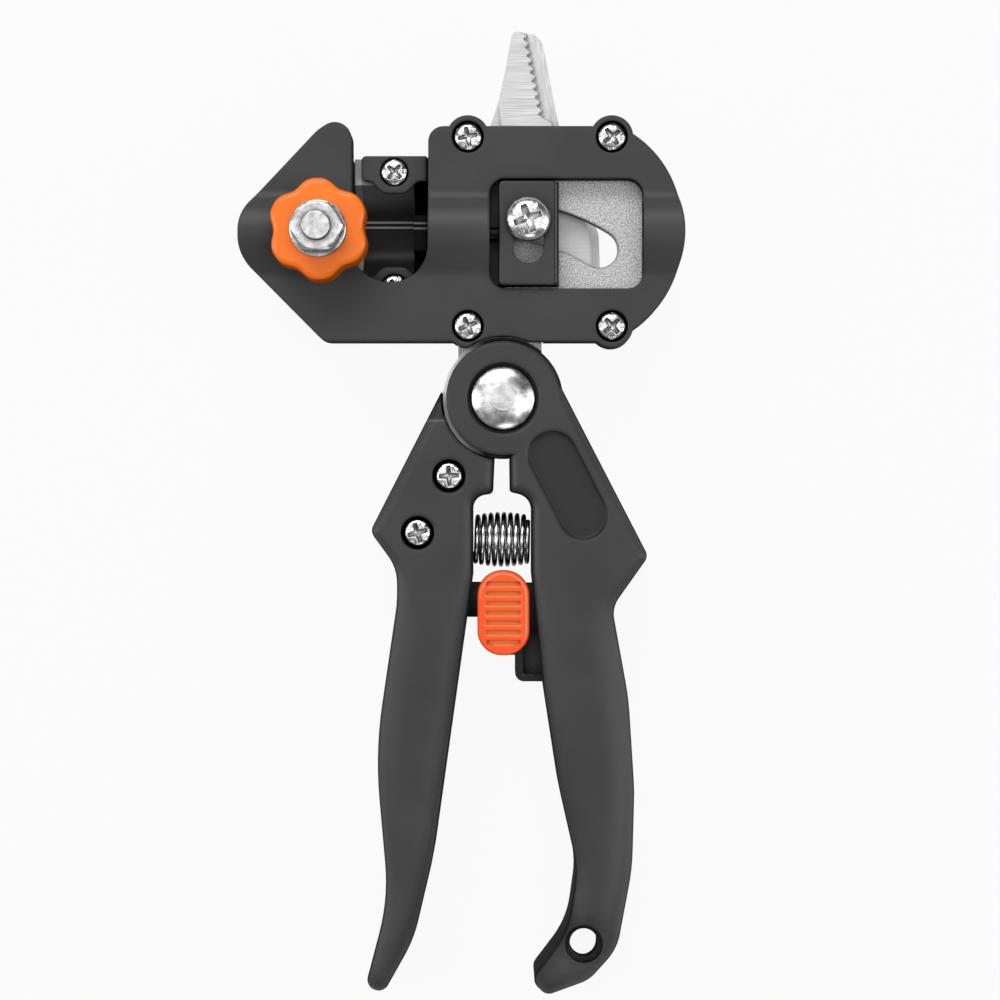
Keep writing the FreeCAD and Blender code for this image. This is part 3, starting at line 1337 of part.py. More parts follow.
def check_wire(path, wire):
    """Print the spring's turns and the least gap between stretches of wire that are not neighbours."""
    spots = path.discretize(Distance=wire / 3)
    skip = int(math.ceil(3 * wire / (wire / 3)))
    least = min((a - b).Length for i, a in enumerate(spots) for b in spots[i + skip:])
    print(f"spring wire {path.Length:.1f} mm long, least gap to itself {least - wire:.2f} mm")


MAKERS = [
    make_right_handle, make_main_frame, make_serrated_jaw, make_jaw_rivets, make_front_casing, make_rear_cover,
    make_casing_screws, make_pivot_bolt, make_pivot_washer, make_pivot_nut, make_right_handle_screws,
    make_return_spring, make_left_handle, make_cutting_blade, make_left_handle_screws, make_drive_screw,
    make_drive_sleeve, make_slider_block, make_slider_rod, make_blade_carrier, make_grafting_blade,
    lambda: make_clamp("upper_clamp", "+"), lambda: make_clamp("lower_clamp", "-"), make_clamp_screws,
    make_anvil, make_anvil_bolt, make_knob, make_knob_washer, make_knob_nut, make_lock_button, make_lock_pin,
    make_lock_washer,
]
sub_parts = [maker() for maker in MAKERS]
doc.recompute()

for item in doc.Objects:
    if "Invalid" in item.State or "Error" in item.State:
        raise RuntimeError(f"{item.Label} failed: {item.State}")
for item in sub_parts:
    if item.Shape.isNull() or not item.Shape.isValid():
        raise RuntimeError(f"{item.Label} has no valid shape")

os.makedirs("parts", exist_ok=True)
for item in sub_parts:
    item.Shape.exportStep(f"parts/{item.Label}.step")
    print(f"{item.Label}: {len(item.Shape.Solids)} solids, {item.Shape.Volume:.0f} mm3")
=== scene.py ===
# %% [markdown]
# A grafting pruner, dressed for a product picture.
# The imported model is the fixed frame: every solid is already in its place and at its real size.
# This lesson gives each piece the finish of the real one, and works out again, as smooth surfaces,
# the pieces that need more than their solid: the return spring's wire, the crossed screw heads,
# the domed head of the pivot bolt and the knob with its soft lobes.

# %% Load the frame
import json
import math

import bpy
import numpy as np
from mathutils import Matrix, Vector

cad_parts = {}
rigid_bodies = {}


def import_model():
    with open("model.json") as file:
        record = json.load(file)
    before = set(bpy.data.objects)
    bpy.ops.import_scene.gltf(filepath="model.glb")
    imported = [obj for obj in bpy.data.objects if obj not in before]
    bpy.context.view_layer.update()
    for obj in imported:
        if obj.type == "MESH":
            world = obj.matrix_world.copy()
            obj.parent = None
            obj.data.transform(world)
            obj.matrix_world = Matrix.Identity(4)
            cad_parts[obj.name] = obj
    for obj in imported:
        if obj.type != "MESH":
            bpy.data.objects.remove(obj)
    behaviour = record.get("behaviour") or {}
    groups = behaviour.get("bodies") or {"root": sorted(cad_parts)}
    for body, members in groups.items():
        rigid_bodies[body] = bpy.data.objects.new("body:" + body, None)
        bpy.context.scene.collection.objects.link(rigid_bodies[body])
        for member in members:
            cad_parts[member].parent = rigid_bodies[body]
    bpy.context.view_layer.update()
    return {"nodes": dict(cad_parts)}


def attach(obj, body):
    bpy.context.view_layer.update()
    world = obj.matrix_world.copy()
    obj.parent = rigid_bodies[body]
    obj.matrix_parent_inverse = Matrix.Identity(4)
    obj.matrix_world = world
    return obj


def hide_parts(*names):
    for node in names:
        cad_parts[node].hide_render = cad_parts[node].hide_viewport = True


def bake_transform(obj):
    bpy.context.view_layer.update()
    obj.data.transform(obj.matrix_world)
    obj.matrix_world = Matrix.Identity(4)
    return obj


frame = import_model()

MM = 0.001

# %% [markdown]
# The picture was taken from straight above, with the tool lying on its back.
# A long lens from 600 mm keeps the perspective as gentle as it is there, so the camera comes first
# and everything after it is judged through it.

# %% Camera
CAMERA_PLACE = (-0.66 * MM, -22.4 * MM, 602 * MM)
LENS = 95.0
SENSOR = 36.0

camera = bpy.data.objects.new("camera", bpy.data.cameras.new("camera"))
camera.data.lens = LENS
camera.data.sensor_width = SENSOR
camera.data.clip_start = 10 * MM
camera.data.clip_end = 20.0
camera.location = CAMERA_PLACE
bpy.context.scene.collection.objects.link(camera)
bpy.context.scene.camera = camera
bpy.context.scene.view_settings.view_transform = "Standard"
print("camera", round(CAMERA_PLACE[2] / MM), "mm above the floor")

# %% [markdown]
# Colours are written as sRGB hex values, as a colour picker shows them.
# The renderer works in linear light, so one function turns them over.

# %% Colour
def linear(hex_value):
    """sRGB hex to linear RGBA: below 0.04045 divide by 12.92, above it raise (c + 0.055) / 1.055 to 2.4."""
    channels = np.array([int(hex_value[i:i + 2], 16) for i in (1, 3, 5)]) / 255
    light = np.where(channels <= 0.04045, channels / 12.92, ((channels + 0.055) / 1.055) ** 2.4)
    return (*light.tolist(), 1.0)


# %% Nodes
def add(tree, kind, feeds=None, **settings):
    """Add one node: settings are its own properties, feeds are values or outputs for its inputs."""
    made = tree.nodes.new(kind)
    for name, value in settings.items():
        setattr(made, name, value)
    for key, value in (feeds or {}).items():
        if isinstance(value, bpy.types.NodeSocket):
            tree.links.new(value, made.inputs[key])
        else:
            made.inputs[key].default_value = value
    return made


def start_material(name):
    """Make an empty node material and return it with its tree, its Object coordinates and its output."""
    material = bpy.data.materials.new(name)
    material.use_nodes = True
    tree = material.node_tree
    tree.nodes.clear()
    place = add(tree, "ShaderNodeTexCoord").outputs["Object"]
    return material, tree, place, add(tree, "ShaderNodeOutputMaterial")


def noise(tree, place, size_mm, detail=2.0):
    """Noise whose blotches are about size_mm wide, from 0 to 1 about a half."""
    return add(tree, "ShaderNodeTexNoise", {"Vector": place, "Scale": 1 / (size_mm * MM),
                                            "Detail": detail}).outputs["Fac"]


def span(tree, value, low, high, start=0.0, stop=1.0, smooth=False):
    """Map a value from start..stop to low..high and keep it inside them."""
    return add(tree, "ShaderNodeMapRange", {"Value": value, "From Min": start, "From Max": stop,
                                            "To Min": low, "To Max": high},
               interpolation_type="SMOOTHSTEP" if smooth else "LINEAR").outputs["Result"]


def sums(tree, operation, first, second=0.0):
    """One step of arithmetic on two numbers."""
    return add(tree, "ShaderNodeMath", {0: first, 1: second}, operation=operation).outputs["Value"]


def between(tree, share, low, high, blend="MIX"):
    """Mix two colours by a share, or multiply the second into the first by it."""
    return add(tree, "ShaderNodeMix", {0: share, 6: low, 7: high}, data_type="RGBA",
               blend_type=blend).outputs[2]


def along(tree, place, axis):
    """One coordinate of a place, in metres."""
    return add(tree, "ShaderNodeSeparateXYZ", {"Vector": place}).outputs[axis]


def off_plane(tree, place, axis, middle_mm):
    """Distance from the plane on which one coordinate has this value in millimetres."""
    return sums(tree, "ABSOLUTE", sums(tree, "SUBTRACT", along(tree, place, axis), middle_mm * MM))


def fade(tree, value, low, high, borders_mm, smooth=False):
    """Map a length from low to high between two borders in millimetres."""
    return span(tree, value, low, high, borders_mm[0] * MM, borders_mm[1] * MM, smooth)


def dot(tree, first, second):
    """Dot product of two vectors."""
    return add(tree, "ShaderNodeVectorMath", {0: first, 1: second},
               operation="DOT_PRODUCT").outputs["Value"]


def dimmed(tree, colour, factor):
    """Multiply a colour by a number."""
    grey = add(tree, "ShaderNodeCombineColor", {0: factor, 1: factor, 2: factor}).outputs["Color"]
    return between(tree, 1.0, colour, grey, "MULTIPLY")


# %% [markdown]
# Light fades in seats, slots and corners. The fraction of open sky over each point, measured a few
# millimetres out, darkens the colour there as painted shade.
# A real moulded edge is never sharp, so the shader also rounds the normal near the edges.
# Some marks follow an edge, a wall's slope or the distance to a line, and three helpers find those.

# %% Recesses and edges
OPEN_SKY = 0.95
EDGE_AGREES = (0.80, 0.97)
WALL_SLOPES = (0.35, 0.75)
SHADER_SAMPLES = 4


def shaded(tree, colour, reach_mm, depth, start=0.25):
    """Multiply a colour by 1 in the open and by 1 - depth where less of the sky than start is seen."""
    sky = add(tree, "ShaderNodeAmbientOcclusion", {"Distance": reach_mm * MM}, samples=SHADER_SAMPLES)
    return dimmed(tree, colour, span(tree, sky.outputs["AO"], 1 - depth, 1.0, start, OPEN_SKY))


def rounded(tree, radius):
    """The surface's normal, turned over near the edges as if they had this radius in metres."""
    return add(tree, "ShaderNodeBevel", {"Radius": radius}, samples=SHADER_SAMPLES).outputs["Normal"]


def edges(tree, radius_mm):
    """1 on edges and 0 on faces: how far the rounded normal has left the true one."""
    face = add(tree, "ShaderNodeNewGeometry").outputs["True Normal"]
    return span(tree, dot(tree, rounded(tree, radius_mm * MM), face), 1, 0, *EDGE_AGREES)


def walls(tree, low, high):
    """low on upright walls and high on level faces, from the upward part of the object's own normal."""
    normal = add(tree, "ShaderNodeTexCoord").outputs["Normal"]
    return span(tree, sums(tree, "ABSOLUTE", along(tree, normal, "Z")), low, high, *WALL_SLOPES)


def flattened(tree, place):
    """A place with its height taken away."""
    return add(tree, "ShaderNodeVectorMath", {0: place, 1: (1.0, 1.0, 0.0)},
               operation="MULTIPLY").outputs["Vector"]


def off_line(tree, place, start_mm, end_mm):
    """Distance to a short level line: its nearest point is the foot, clamped to the two ends."""
    start, end = np.array(start_mm) * MM, np.array(end_mm) * MM
    line = end - start
    arm = add(tree, "ShaderNodeVectorMath", {0: flattened(tree, place), 1: tuple(start)},
              operation="SUBTRACT")
    share = span(tree, dot(tree, arm.outputs["Vector"], tuple(line / (line @ line))), 0, 1)
    reach = add(tree, "ShaderNodeVectorMath", {0: tuple(line), "Scale": share}, operation="SCALE")
    return add(tree, "ShaderNodeVectorMath", {0: arm.outputs["Vector"], 1: reach.outputs["Vector"]},
               operation="DISTANCE").outputs["Value"]


# %% [markdown]
# The grips, the cover and the slider are glass-filled nylon, moulded in a tool with a spark-eroded face.
# That face leaves a fine even grain of about a third of a millimetre, which breaks the gloss,
# and the flow of the melt leaves faint lighter and darker clouds about two centimetres wide.

# %% Moulded nylon
GRAIN_MM = 0.30
CLOUD_MM = 18.0
CLOUD_WINDOW = (0.33, 0.67)
WALL_SHADE, WALL_GLOSS, WALL_ROUGHNESS = 0.5, 0.06, 0.95
GRIP_EDGE_MM = 8.5
GRIP_BORDERS = (-50, -36)


def moulded_nylon(name, dark, light, roughness=0.42, relief=0.03, edge_mm=0.9, tint=None, sink=0.75,
                  gloss=0.5, grip=False):
    """Nylon: clouds in the colour, painted shade in recesses, eroded grain in the height, softened edges.

    tint takes the tree, the place and the colour, and gives back the colour with one more mark in it.
    The walls, which the tool dragged along, are duller than the faces, and painted shade darkens them.
    A grip's edges are rounder: edge_mm at its ear grows to GRIP_EDGE_MM where the fingers close.
    """
    material, tree, place, output = start_material(name)
    clouds = noise(tree, place, CLOUD_MM, 3.0)
    colour = between(tree, span(tree, clouds, 0, 1, *CLOUD_WINDOW), linear(dark), linear(light))
    if tint:
        colour = tint(tree, place, colour)
    # Painted shade: upright walls keep only WALL_SHADE of their colour.
    colour = dimmed(tree, colour, walls(tree, WALL_SHADE, 1.0))
    edge = edge_mm * MM
    if grip:
        edge = fade(tree, along(tree, place, "Y"), GRIP_EDGE_MM * MM, edge_mm * MM, GRIP_BORDERS)
    bump = add(tree, "ShaderNodeBump", {"Height": noise(tree, place, GRAIN_MM), "Strength": 0.5,
                                        "Distance": relief * MM, "Normal": rounded(tree, edge)})
    surface = add(tree, "ShaderNodeBsdfPrincipled", {
        "Base Color": shaded(tree, colour, 4.0, sink),
        "Roughness": sums(tree, "MAXIMUM", span(tree, clouds, roughness - 0.05, roughness + 0.05),
                          walls(tree, WALL_ROUGHNESS, 0.0)),
        "Specular IOR Level": walls(tree, WALL_GLOSS, gloss),
        "Normal": bump.outputs["Normal"]})
    surface.inputs["IOR"].default_value = 1.50
    tree.links.new(surface.outputs["BSDF"], output.inputs["Surface"])
    return material


# %% [markdown]
# The thumb rest in the right grip is painted darker than the grained face round it, as shade.
# Its shape is every point within one radius of a short line.
# Below it the outer side of the grip carries a painted highlight, a little paler.

# %% Thumb rest
REST_TOP = (10.9, -12.6, 0.0)
REST_LOW = (17.6, -25.7, 0.0)
REST_RADIUS, REST_BORDER = 5.4, 0.9
FRONT_BORDERS = (18, 19)
PALM_ROUNDING, PALM_LEANS, PALM_BORDERS = 9.0, (0.04, 0.22), (-56, -42)


def rest_shade_and_palm_highlight(tree, place, colour):
    """Paint shade within the radius of the line, on the front only, and a highlight on the grip's outer
    side.
    """
    off = off_line(tree, place, REST_TOP, REST_LOW)
    inside = fade(tree, off, 1, 0, (REST_RADIUS - REST_BORDER, REST_RADIUS), smooth=True)
    front = fade(tree, along(tree, place, "Z"), 0, 0.85, FRONT_BORDERS)
    # Painted shade in the thumb rest.
    colour = between(tree, sums(tree, "MULTIPLY", inside, front), colour, linear("#141414"))
    # Painted highlight on the grip's outer side, from the lean of the rounded normal.
    lean = along(tree, rounded(tree, PALM_ROUNDING * MM), "X")
    outer = span(tree, lean, 0, 0.8, *PALM_LEANS, smooth=True)
    grip = fade(tree, along(tree, place, "Y"), 1, 0, PALM_BORDERS)
    return between(tree, sums(tree, "MULTIPLY", outer, grip), colour, linear("#4A4A4A"))


# %% [markdown]
# The left grip's face stops short of the pivot in a soft shoulder. The ear beyond it is painted in shade,
# and a painted highlight runs along the shoulder's edge.

# %% Shoulder
SHOULDER_Y, SHOULDER_SOFT = -4.8, 0.3
SHOULDER_LINE, SHOULDER_LINE_HALF = -4.95, (0.10, 0.35)


def shoulder(tree, place, colour):
    """Painted shade beyond one Y, with a painted highlight along that border."""
    past = fade(tree, along(tree, place, "Y"), 0, 0.8, (SHOULDER_Y, SHOULDER_Y + SHOULDER_SOFT))
    line = fade(tree, off_plane(tree, place, "Y", SHOULDER_LINE), 0.55, 0, SHOULDER_LINE_HALF, smooth=True)
    colour = between(tree, past, colour, linear("#101010"))
    return between(tree, line, colour, linear("#707070"))


# %% [markdown]
# The slider block carries one fine groove beside its right edge, where two halves of the mould met.
# It is drawn as a dark line of painted shade with a painted highlight next to it.

# %% Groove line
GROOVE_X, GROOVE_HALF = 11.35, 0.13
BESIDE_X, BESIDE_HALF = 11.63, 0.12


def groove_line(tree, place, colour):
    """A dark line of painted shade at one X and a painted highlight beside it, each a quarter of a
    millimetre wide.
    """
    dark = sums(tree, "LESS_THAN", off_plane(tree, place, "X", GROOVE_X), GROOVE_HALF * MM)
    beside = sums(tree, "LESS_THAN", off_plane(tree, place, "X", BESIDE_X), BESIDE_HALF * MM)
    colour = between(tree, dark, colour, linear("#0C0C0C"))
    return between(tree, beside, colour, linear("#5C5C5C"))


# %% [markdown]
# The button's face has seven ribs inside a thin raised rim. Painted light lifts their grooves out of shade,
# a painted highlight runs along each rib's lower edge, and another along the rim's far and right sides.
# The ribs repeat, so their place is Y wrapped to one pitch; the rim lies at one distance from the
# line that the button's rounded outline is drawn about.

# %% Button marks
BUTTON_LINE = ((0.1, -43.75, 0.0), (0.1, -50.95, 0.0))
BUTTON_MIDDLE = -47.85
RIB_PITCH, RIB_COUNT, RIB_HALF = 2.15, 7, (0.22, 0.48)
FIELD_BORDERS = (3.9, 4.3)
GROOVE_LEVELS = (19.35, 19.75)
RIM_OFF, RIM_HALF, RIM_SIDE = 5.05, (0.06, 0.22), (-2, 2)


def button_painted_light(tree, place, colour):
    """Painted light in the grooves, a painted highlight at every rib, and one along the rim at its far and
    right sides.
    """
    off = off_line(tree, place, *BUTTON_LINE)
    down = sums(tree, "SUBTRACT", along(tree, place, "Y"), BUTTON_MIDDLE * MM)
    phase = add(tree, "ShaderNodeMath", {0: down, 1: RIB_PITCH / 2 * MM, 2: -RIB_PITCH / 2 * MM},
                operation="WRAP").outputs["Value"]
    band = fade(tree, sums(tree, "ABSOLUTE", phase), 1, 0, RIB_HALF, smooth=True)
    half_field = RIB_COUNT / 2 * RIB_PITCH
    ribbed = fade(tree, sums(tree, "ABSOLUTE", down), 1, 0, (half_field - 0.1, half_field))
    inside = sums(tree, "MULTIPLY", fade(tree, off, 1, 0, FIELD_BORDERS, smooth=True), ribbed)
    # Painted light in the grooves, against their shade.
    groove = fade(tree, along(tree, place, "Z"), 0.8, 0, GROOVE_LEVELS)
    colour = between(tree, sums(tree, "MULTIPLY", groove, inside), colour, linear("#FF9048"))
    colour = between(tree, sums(tree, "MULTIPLY", band, inside), colour, linear("#FF7E30"))
    # Painted highlight along the rim.
    rim = fade(tree, sums(tree, "ABSOLUTE", sums(tree, "SUBTRACT", off, RIM_OFF * MM)), 0.75, 0,
               RIM_HALF, smooth=True)
    side = fade(tree, sums(tree, "ADD", down, along(tree, place, "X")), 0, 1, RIM_SIDE)
    return between(tree, sums(tree, "MULTIPLY", rim, side), colour, linear("#FFA07A"))


# %% [markdown]
# The carrier behind the throat carries the bend's two painted highlight lines on across its lug.

# %% Lug
LUG_X, LUG_HIGHLIGHT_Y = -19.7, (37.25, 38.4)
LINE_HALF = (0.14, 0.26)


def lug_highlights(tree, place, colour):
    """Two painted highlight lines along X at the two places along Y, to the right of the strip."""
    share = fade(tree, along(tree, place, "X"), 0, 1, (LUG_X - 0.1, LUG_X))
    for middle in LUG_HIGHLIGHT_Y:
        line = fade(tree, off_plane(tree, place, "Y", middle), 0.8, 0, LINE_HALF)
        colour = between(tree, sums(tree, "MULTIPLY", share, line), colour, linear("#808080"))
    return colour


# %% [markdown]
# Each moulded piece has its own tone, gloss and edge rounding, and some carry painted shade or highlights.

# %% Moulded pieces
CHARCOAL = moulded_nylon("glass_filled_nylon_charcoal", "#393939", "#3F3F3F", gloss=0.3)
GRIP = moulded_nylon("glass_filled_nylon_grip", "#2F2F2F", "#363636", edge_mm=1.3, tint=rest_shade_and_palm_highlight,
                     grip=True)
GRIP_PLAIN = moulded_nylon("glass_filled_nylon_grip_plain", "#2F2F2F", "#363636", edge_mm=1.3,
                           tint=shoulder, grip=True)
SLIDER = moulded_nylon("glass_filled_nylon_slider", "#393939", "#3F3F3F", edge_mm=0.7, tint=groove_line,
                       gloss=0.3)
# The carrier's near-black tone is painted shade: it lies deep in the throat.
CARRIER_IN_SHADE = moulded_nylon("glass_filled_nylon_carrier", "#080808", "#0C0C0C", 0.70, tint=lug_highlights, gloss=0.1)
THUMB = moulded_nylon("glass_filled_nylon_button", "#FF5208", "#FF5A10", roughness=0.36, relief=0.01,
                      edge_mm=0.35, tint=button_painted_light, sink=0.0)
KNOB = moulded_nylon("glass_filled_nylon_knob", "#FF740A", "#FF7E12", 0.32, 0.01, 0.3, None, 0.12)
ANVIL = moulded_nylon("acetal_black", "#242424", "#2A2A2A", 0.40, 0.01, 0.4)
print("nylon grain", GRAIN_MM, "mm, clouds", CLOUD_MM, "mm")

# %% [markdown]
# The plate behind the window is a zinc and aluminium casting, left as it came from the die.
# Its skin is grainy, pale where the metal froze first and darker in the pits.
# Its walls and edges carry painted shade, which rims the curved slot with a thin dark line.
# The neck is left plain. Round the pivot the ring is pale on its left, and on its right it is painted
# dark as the grip's shadow.

# %% Die-cast plate
CAST_GRIT_MM, GRIT_WINDOW = 0.34, (0.36, 0.62)
CAST_PATCH_MM = 5.0
HUB_RING = 13.6
GRIP_SHADOW_BORDERS = (-9, -4)
PLATE_BORDERS = (17, 18)
EDGE_SHADE_MM = 1.0


def die_cast(name):
    """Die-cast alloy: speckled colour and height, with painted shade on walls, edges and the ring's right
    side.
    """
    material, tree, place, output = start_material(name)
    grit = noise(tree, place, CAST_GRIT_MM, 3.0)
    patches = noise(tree, place, CAST_PATCH_MM)
    speckle = between(tree, span(tree, grit, 0, 1, *GRIT_WINDOW), linear("#9C9C9C"), linear("#E6E6E6"))
    radius = add(tree, "ShaderNodeVectorMath", {0: flattened(tree, place)}, operation="LENGTH")
    ring = sums(tree, "LESS_THAN", radius.outputs["Value"], HUB_RING * MM)
    # Painted shadow of the grip on the ring's right side; its left side is pale.
    left_of_grip_shadow = fade(tree, along(tree, place, "X"), 1, 0, GRIP_SHADOW_BORDERS)
    colour = between(tree, ring, speckle, between(tree, left_of_grip_shadow, linear("#262626"), linear("#F4F4F4")))
    # Painted shade on walls and edges beyond the neck, which rims the slot with a dark line.
    edge = sums(tree, "MULTIPLY", edges(tree, EDGE_SHADE_MM), 0.9)
    edge = sums(tree, "MAXIMUM", edge, walls(tree, 1.0, 0.0))
    plate = fade(tree, along(tree, place, "Y"), 0, 1, PLATE_BORDERS)
    colour = between(tree, sums(tree, "MULTIPLY", edge, plate), colour, linear("#303030"))
    bump = add(tree, "ShaderNodeBump", {"Height": grit, "Distance": 0.05 * MM, "Strength": 0.6})
    surface = add(tree, "ShaderNodeBsdfPrincipled", {
        "Base Color": shaded(tree, colour, 0.8, 0.3),
        "Roughness": span(tree, patches, 0.40, 0.60),
        "Normal": bump.outputs["Normal"]})
    surface.inputs["Metallic"].default_value = 0.45
    tree.links.new(surface.outputs["BSDF"], output.inputs["Surface"])
    return material


CAST = die_cast("die_cast_zinc_alloy")
print("casting grit", CAST_GRIT_MM, "mm")

# %% [markdown]
# The blades are hardened steel, ground across on a wheel.
# Grinding leaves straight parallel scratches a few hundredths of a millimetre wide. They are drawn
# a fifth of a millimetre wide here, because finer ones would vanish between the picture's pixels.

# %% Ground steel
SCRATCH_MM, SCRATCH_WINDOW, STRETCH = 0.22, (0.36, 0.64), 0.02
GROUND_EDGE_MM = 0.25


def ground_steel(name, turn_degrees, dark, light, roughness=0.30, tint=None, metal=1.0, reach_mm=1.5,
                 sink=0.7):
    """Steel with grinding scratches: noise stretched along one direction, turned about Z."""
    material, tree, place, output = start_material(name)
    turned = add(tree, "ShaderNodeMapping", {"Vector": place,
                                             "Rotation": (0.0, 0.0, math.radians(turn_degrees)),
                                             "Scale": (STRETCH, 1.0, 1.0)}).outputs["Vector"]
    lines = noise(tree, turned, SCRATCH_MM, 3.0)
    colour = between(tree, span(tree, lines, 0, 1, *SCRATCH_WINDOW), linear(dark), linear(light))
    if tint:
        colour = tint(tree, place, colour)
    bump = add(tree, "ShaderNodeBump", {"Height": lines, "Strength": 0.3, "Distance": 0.008 * MM,
                                        "Normal": rounded(tree, GROUND_EDGE_MM * MM)})
    surface = add(tree, "ShaderNodeBsdfPrincipled", {
        "Base Color": shaded(tree, colour, reach_mm, sink),
        "Roughness": span(tree, lines, roughness - 0.04, roughness + 0.04),
        "Normal": bump.outputs["Normal"]})
    surface.inputs["Metallic"].default_value = metal
    tree.links.new(surface.outputs["BSDF"], output.inputs["Surface"])
    return material


# %% [markdown]
# A painted shadow darkens a line along the jaw's toothed side.
# The blade's bevel was ground last, square to the flat's scratches.

# %% Teeth and bevel
TOOTH_BORDERS, TOOTH_LINE_MM = (3.6, 4.4), 0.6
BEVEL_STRIPE_MM, STRIPE_WINDOW, BEVEL_SLOPES = 0.35, (0.4, 0.6), (0.90, 0.98)


def toothed(tree, place, colour):
    """Painted shadow along the edges of the toothed side; the doubled share makes the line darker."""
    side = fade(tree, along(tree, place, "X"), 0, 2, TOOTH_BORDERS)
    line = sums(tree, "MINIMUM", sums(tree, "MULTIPLY", side, edges(tree, TOOTH_LINE_MM)), 0.95)
    return between(tree, line, colour, linear("#181818"))


def striped_bevel(tree, place, colour):
    """On slopes, the cutting bevel: paler, with stripes square to those of the flat."""
    squeezed = add(tree, "ShaderNodeMapping", {"Vector": place, "Scale": (1.0, STRETCH, 1.0)})
    stripes = noise(tree, squeezed.outputs["Vector"], BEVEL_STRIPE_MM)
    bevel = between(tree, span(tree, stripes, 0, 1, *STRIPE_WINDOW), linear("#E6E6E6"), linear("#FFFFFF"))
    normal = add(tree, "ShaderNodeTexCoord").outputs["Normal"]
    return between(tree, span(tree, along(tree, normal, "Z"), 1, 0, *BEVEL_SLOPES), colour, bevel)


JAW_STEEL = ground_steel("ground_tool_steel", 0, "#CCCCCC", "#F0F0F0", tint=toothed)
BLADE_STEEL = ground_steel("ground_blade_steel", 0, "#D6D6D6", "#E2E2E2", roughness=0.45,
                           tint=striped_bevel, metal=0.5, reach_mm=0.8, sink=0.25)
PIN_STEEL = ground_steel("turned_free_cutting_steel", 0, "#C0C0C0", "#D0D0D0")
BLACK_STEEL = ground_steel("black_oxide_steel", 90, "#1C1C1C", "#262626", 0.42)

# %% [markdown]
# The grafting blade is a strip of spring steel, blackened by its heat treatment and bent to an omega.
# Only its left edge is ground bright, a millimetre and a half wide. In the bend painted light turns the
# black to grey up the far flank, and two painted highlight lines run across it.

# %% Grafting blade
EDGE_BORDERS = (-31.45, -31.35)
HIGHLIGHT_LINES_Y = (39.15, 40.3)
FLANK_LEVELS, FLANK_BORDERS = (5.4, 9.0), (36, 38)


def strip_edge_and_highlights(tree, place, colour):
    """Painted light up the far flank, pale ground steel left of the edge's border, painted highlights on
    two lines.
    """
    # Painted light on the far flank of the bend.
    flank = sums(tree, "MULTIPLY", fade(tree, along(tree, place, "Z"), 0, 1, FLANK_LEVELS),
                 fade(tree, along(tree, place, "Y"), 0.1, 1, FLANK_BORDERS))
    colour = between(tree, flank, colour, linear("#A0A0A0"))
    bare_edge_and_highlight = fade(tree, along(tree, place, "X"), 1, 0, EDGE_BORDERS)
    for middle in HIGHLIGHT_LINES_Y:
        line = fade(tree, off_plane(tree, place, "Y", middle), 0.8, 0, LINE_HALF)
        bare_edge_and_highlight = sums(tree, "MAXIMUM", bare_edge_and_highlight, line)
    return between(tree, bare_edge_and_highlight, colour, linear("#D0D0D0"))


STRIP_STEEL = ground_steel("blackened_spring_steel", 0, "#080808", "#101010", 0.45, strip_edge_and_highlights, 0.4, 3.0)

# %% [markdown]
# The screws, the dome, the nut and the spring are steel with bright nickel.
# The plate is mirror-like, with a very slight haze that varies from place to place. Painted shade dulls
# it to black in the crosses, and painted shade also blackens the two sides of the spring's coil, where
# the wire turns away from the light.

# %% Bright nickel
COIL_MIDDLE, COIL_SHADE_BORDERS = -31.2, (3.9, 4.8)
HAZE_WINDOW = (0.3, 0.7)


def coil_side_shade(tree, place, colour):
    """Painted shade: black beyond COIL_SHADE_BORDERS from the coil's middle, either way along Y."""
    share = fade(tree, off_plane(tree, place, "Y", COIL_MIDDLE), 0, 1, COIL_SHADE_BORDERS, smooth=True)
    return between(tree, share, colour, linear("#0A0A0A"))


def bright_nickel(name, colour, roughness, ripple_mm=1.1, ripple=0.02, edge_mm=0.3, reach_mm=1.3,
                  start=0.52, tint=None):
    """Nickel plate: full metal, a low roughness that wanders, ripples, and painted shade in recesses."""
    material, tree, place, output = start_material(name)
    haze = noise(tree, place, ripple_mm)
    tone = between(tree, span(tree, haze, 0, 1, *HAZE_WINDOW), linear(colour), linear("#FFFFFF"))
    if tint:
        tone = tint(tree, place, tone)
    bump = add(tree, "ShaderNodeBump", {"Height": haze, "Strength": 0.35, "Distance": ripple * MM,
                                        "Normal": rounded(tree, edge_mm * MM)})
    surface = add(tree, "ShaderNodeBsdfPrincipled", {
        "Base Color": shaded(tree, tone, reach_mm, 0.96, start),
        "Roughness": span(tree, haze, roughness * 0.6, roughness * 1.4),
        "Normal": bump.outputs["Normal"]})
    surface.inputs["Metallic"].default_value = 1.0
    tree.links.new(surface.outputs["BSDF"], output.inputs["Surface"])
    return material


NICKEL = bright_nickel("bright_nickel_plate", "#C8C8C8", 0.24)
DOME_NICKEL = bright_nickel("bright_nickel_dome", "#D8D8D8", 0.26, 1.6, 0.16, 0.2, 1.1)
SPRING_WIRE = bright_nickel("nickel_plated_music_wire", "#F0F0F0", 0.22, 0.8, 0.01, 0.05, 3.0, 0.35, coil_side_shade)

# %% [markdown]
# Every solid that already has the right shape keeps it and only takes its finish.

# %% Finishes of the frame's pieces
FINISHES = {
    "right_handle": GRIP, "left_handle": GRIP_PLAIN, "front_casing": CHARCOAL, "rear_cover": CHARCOAL,
    "slider_block": SLIDER, "blade_carrier": CARRIER_IN_SHADE, "upper_clamp": CHARCOAL, "lower_clamp": CHARCOAL,
    "main_frame": CAST, "serrated_jaw": JAW_STEEL, "cutting_blade": BLADE_STEEL,
    "grafting_blade": STRIP_STEEL, "jaw_rivets": PIN_STEEL, "drive_sleeve": PIN_STEEL,
    "slider_rod": BLACK_STEEL, "anvil": ANVIL, "knob": KNOB, "lock_button": THUMB,
}


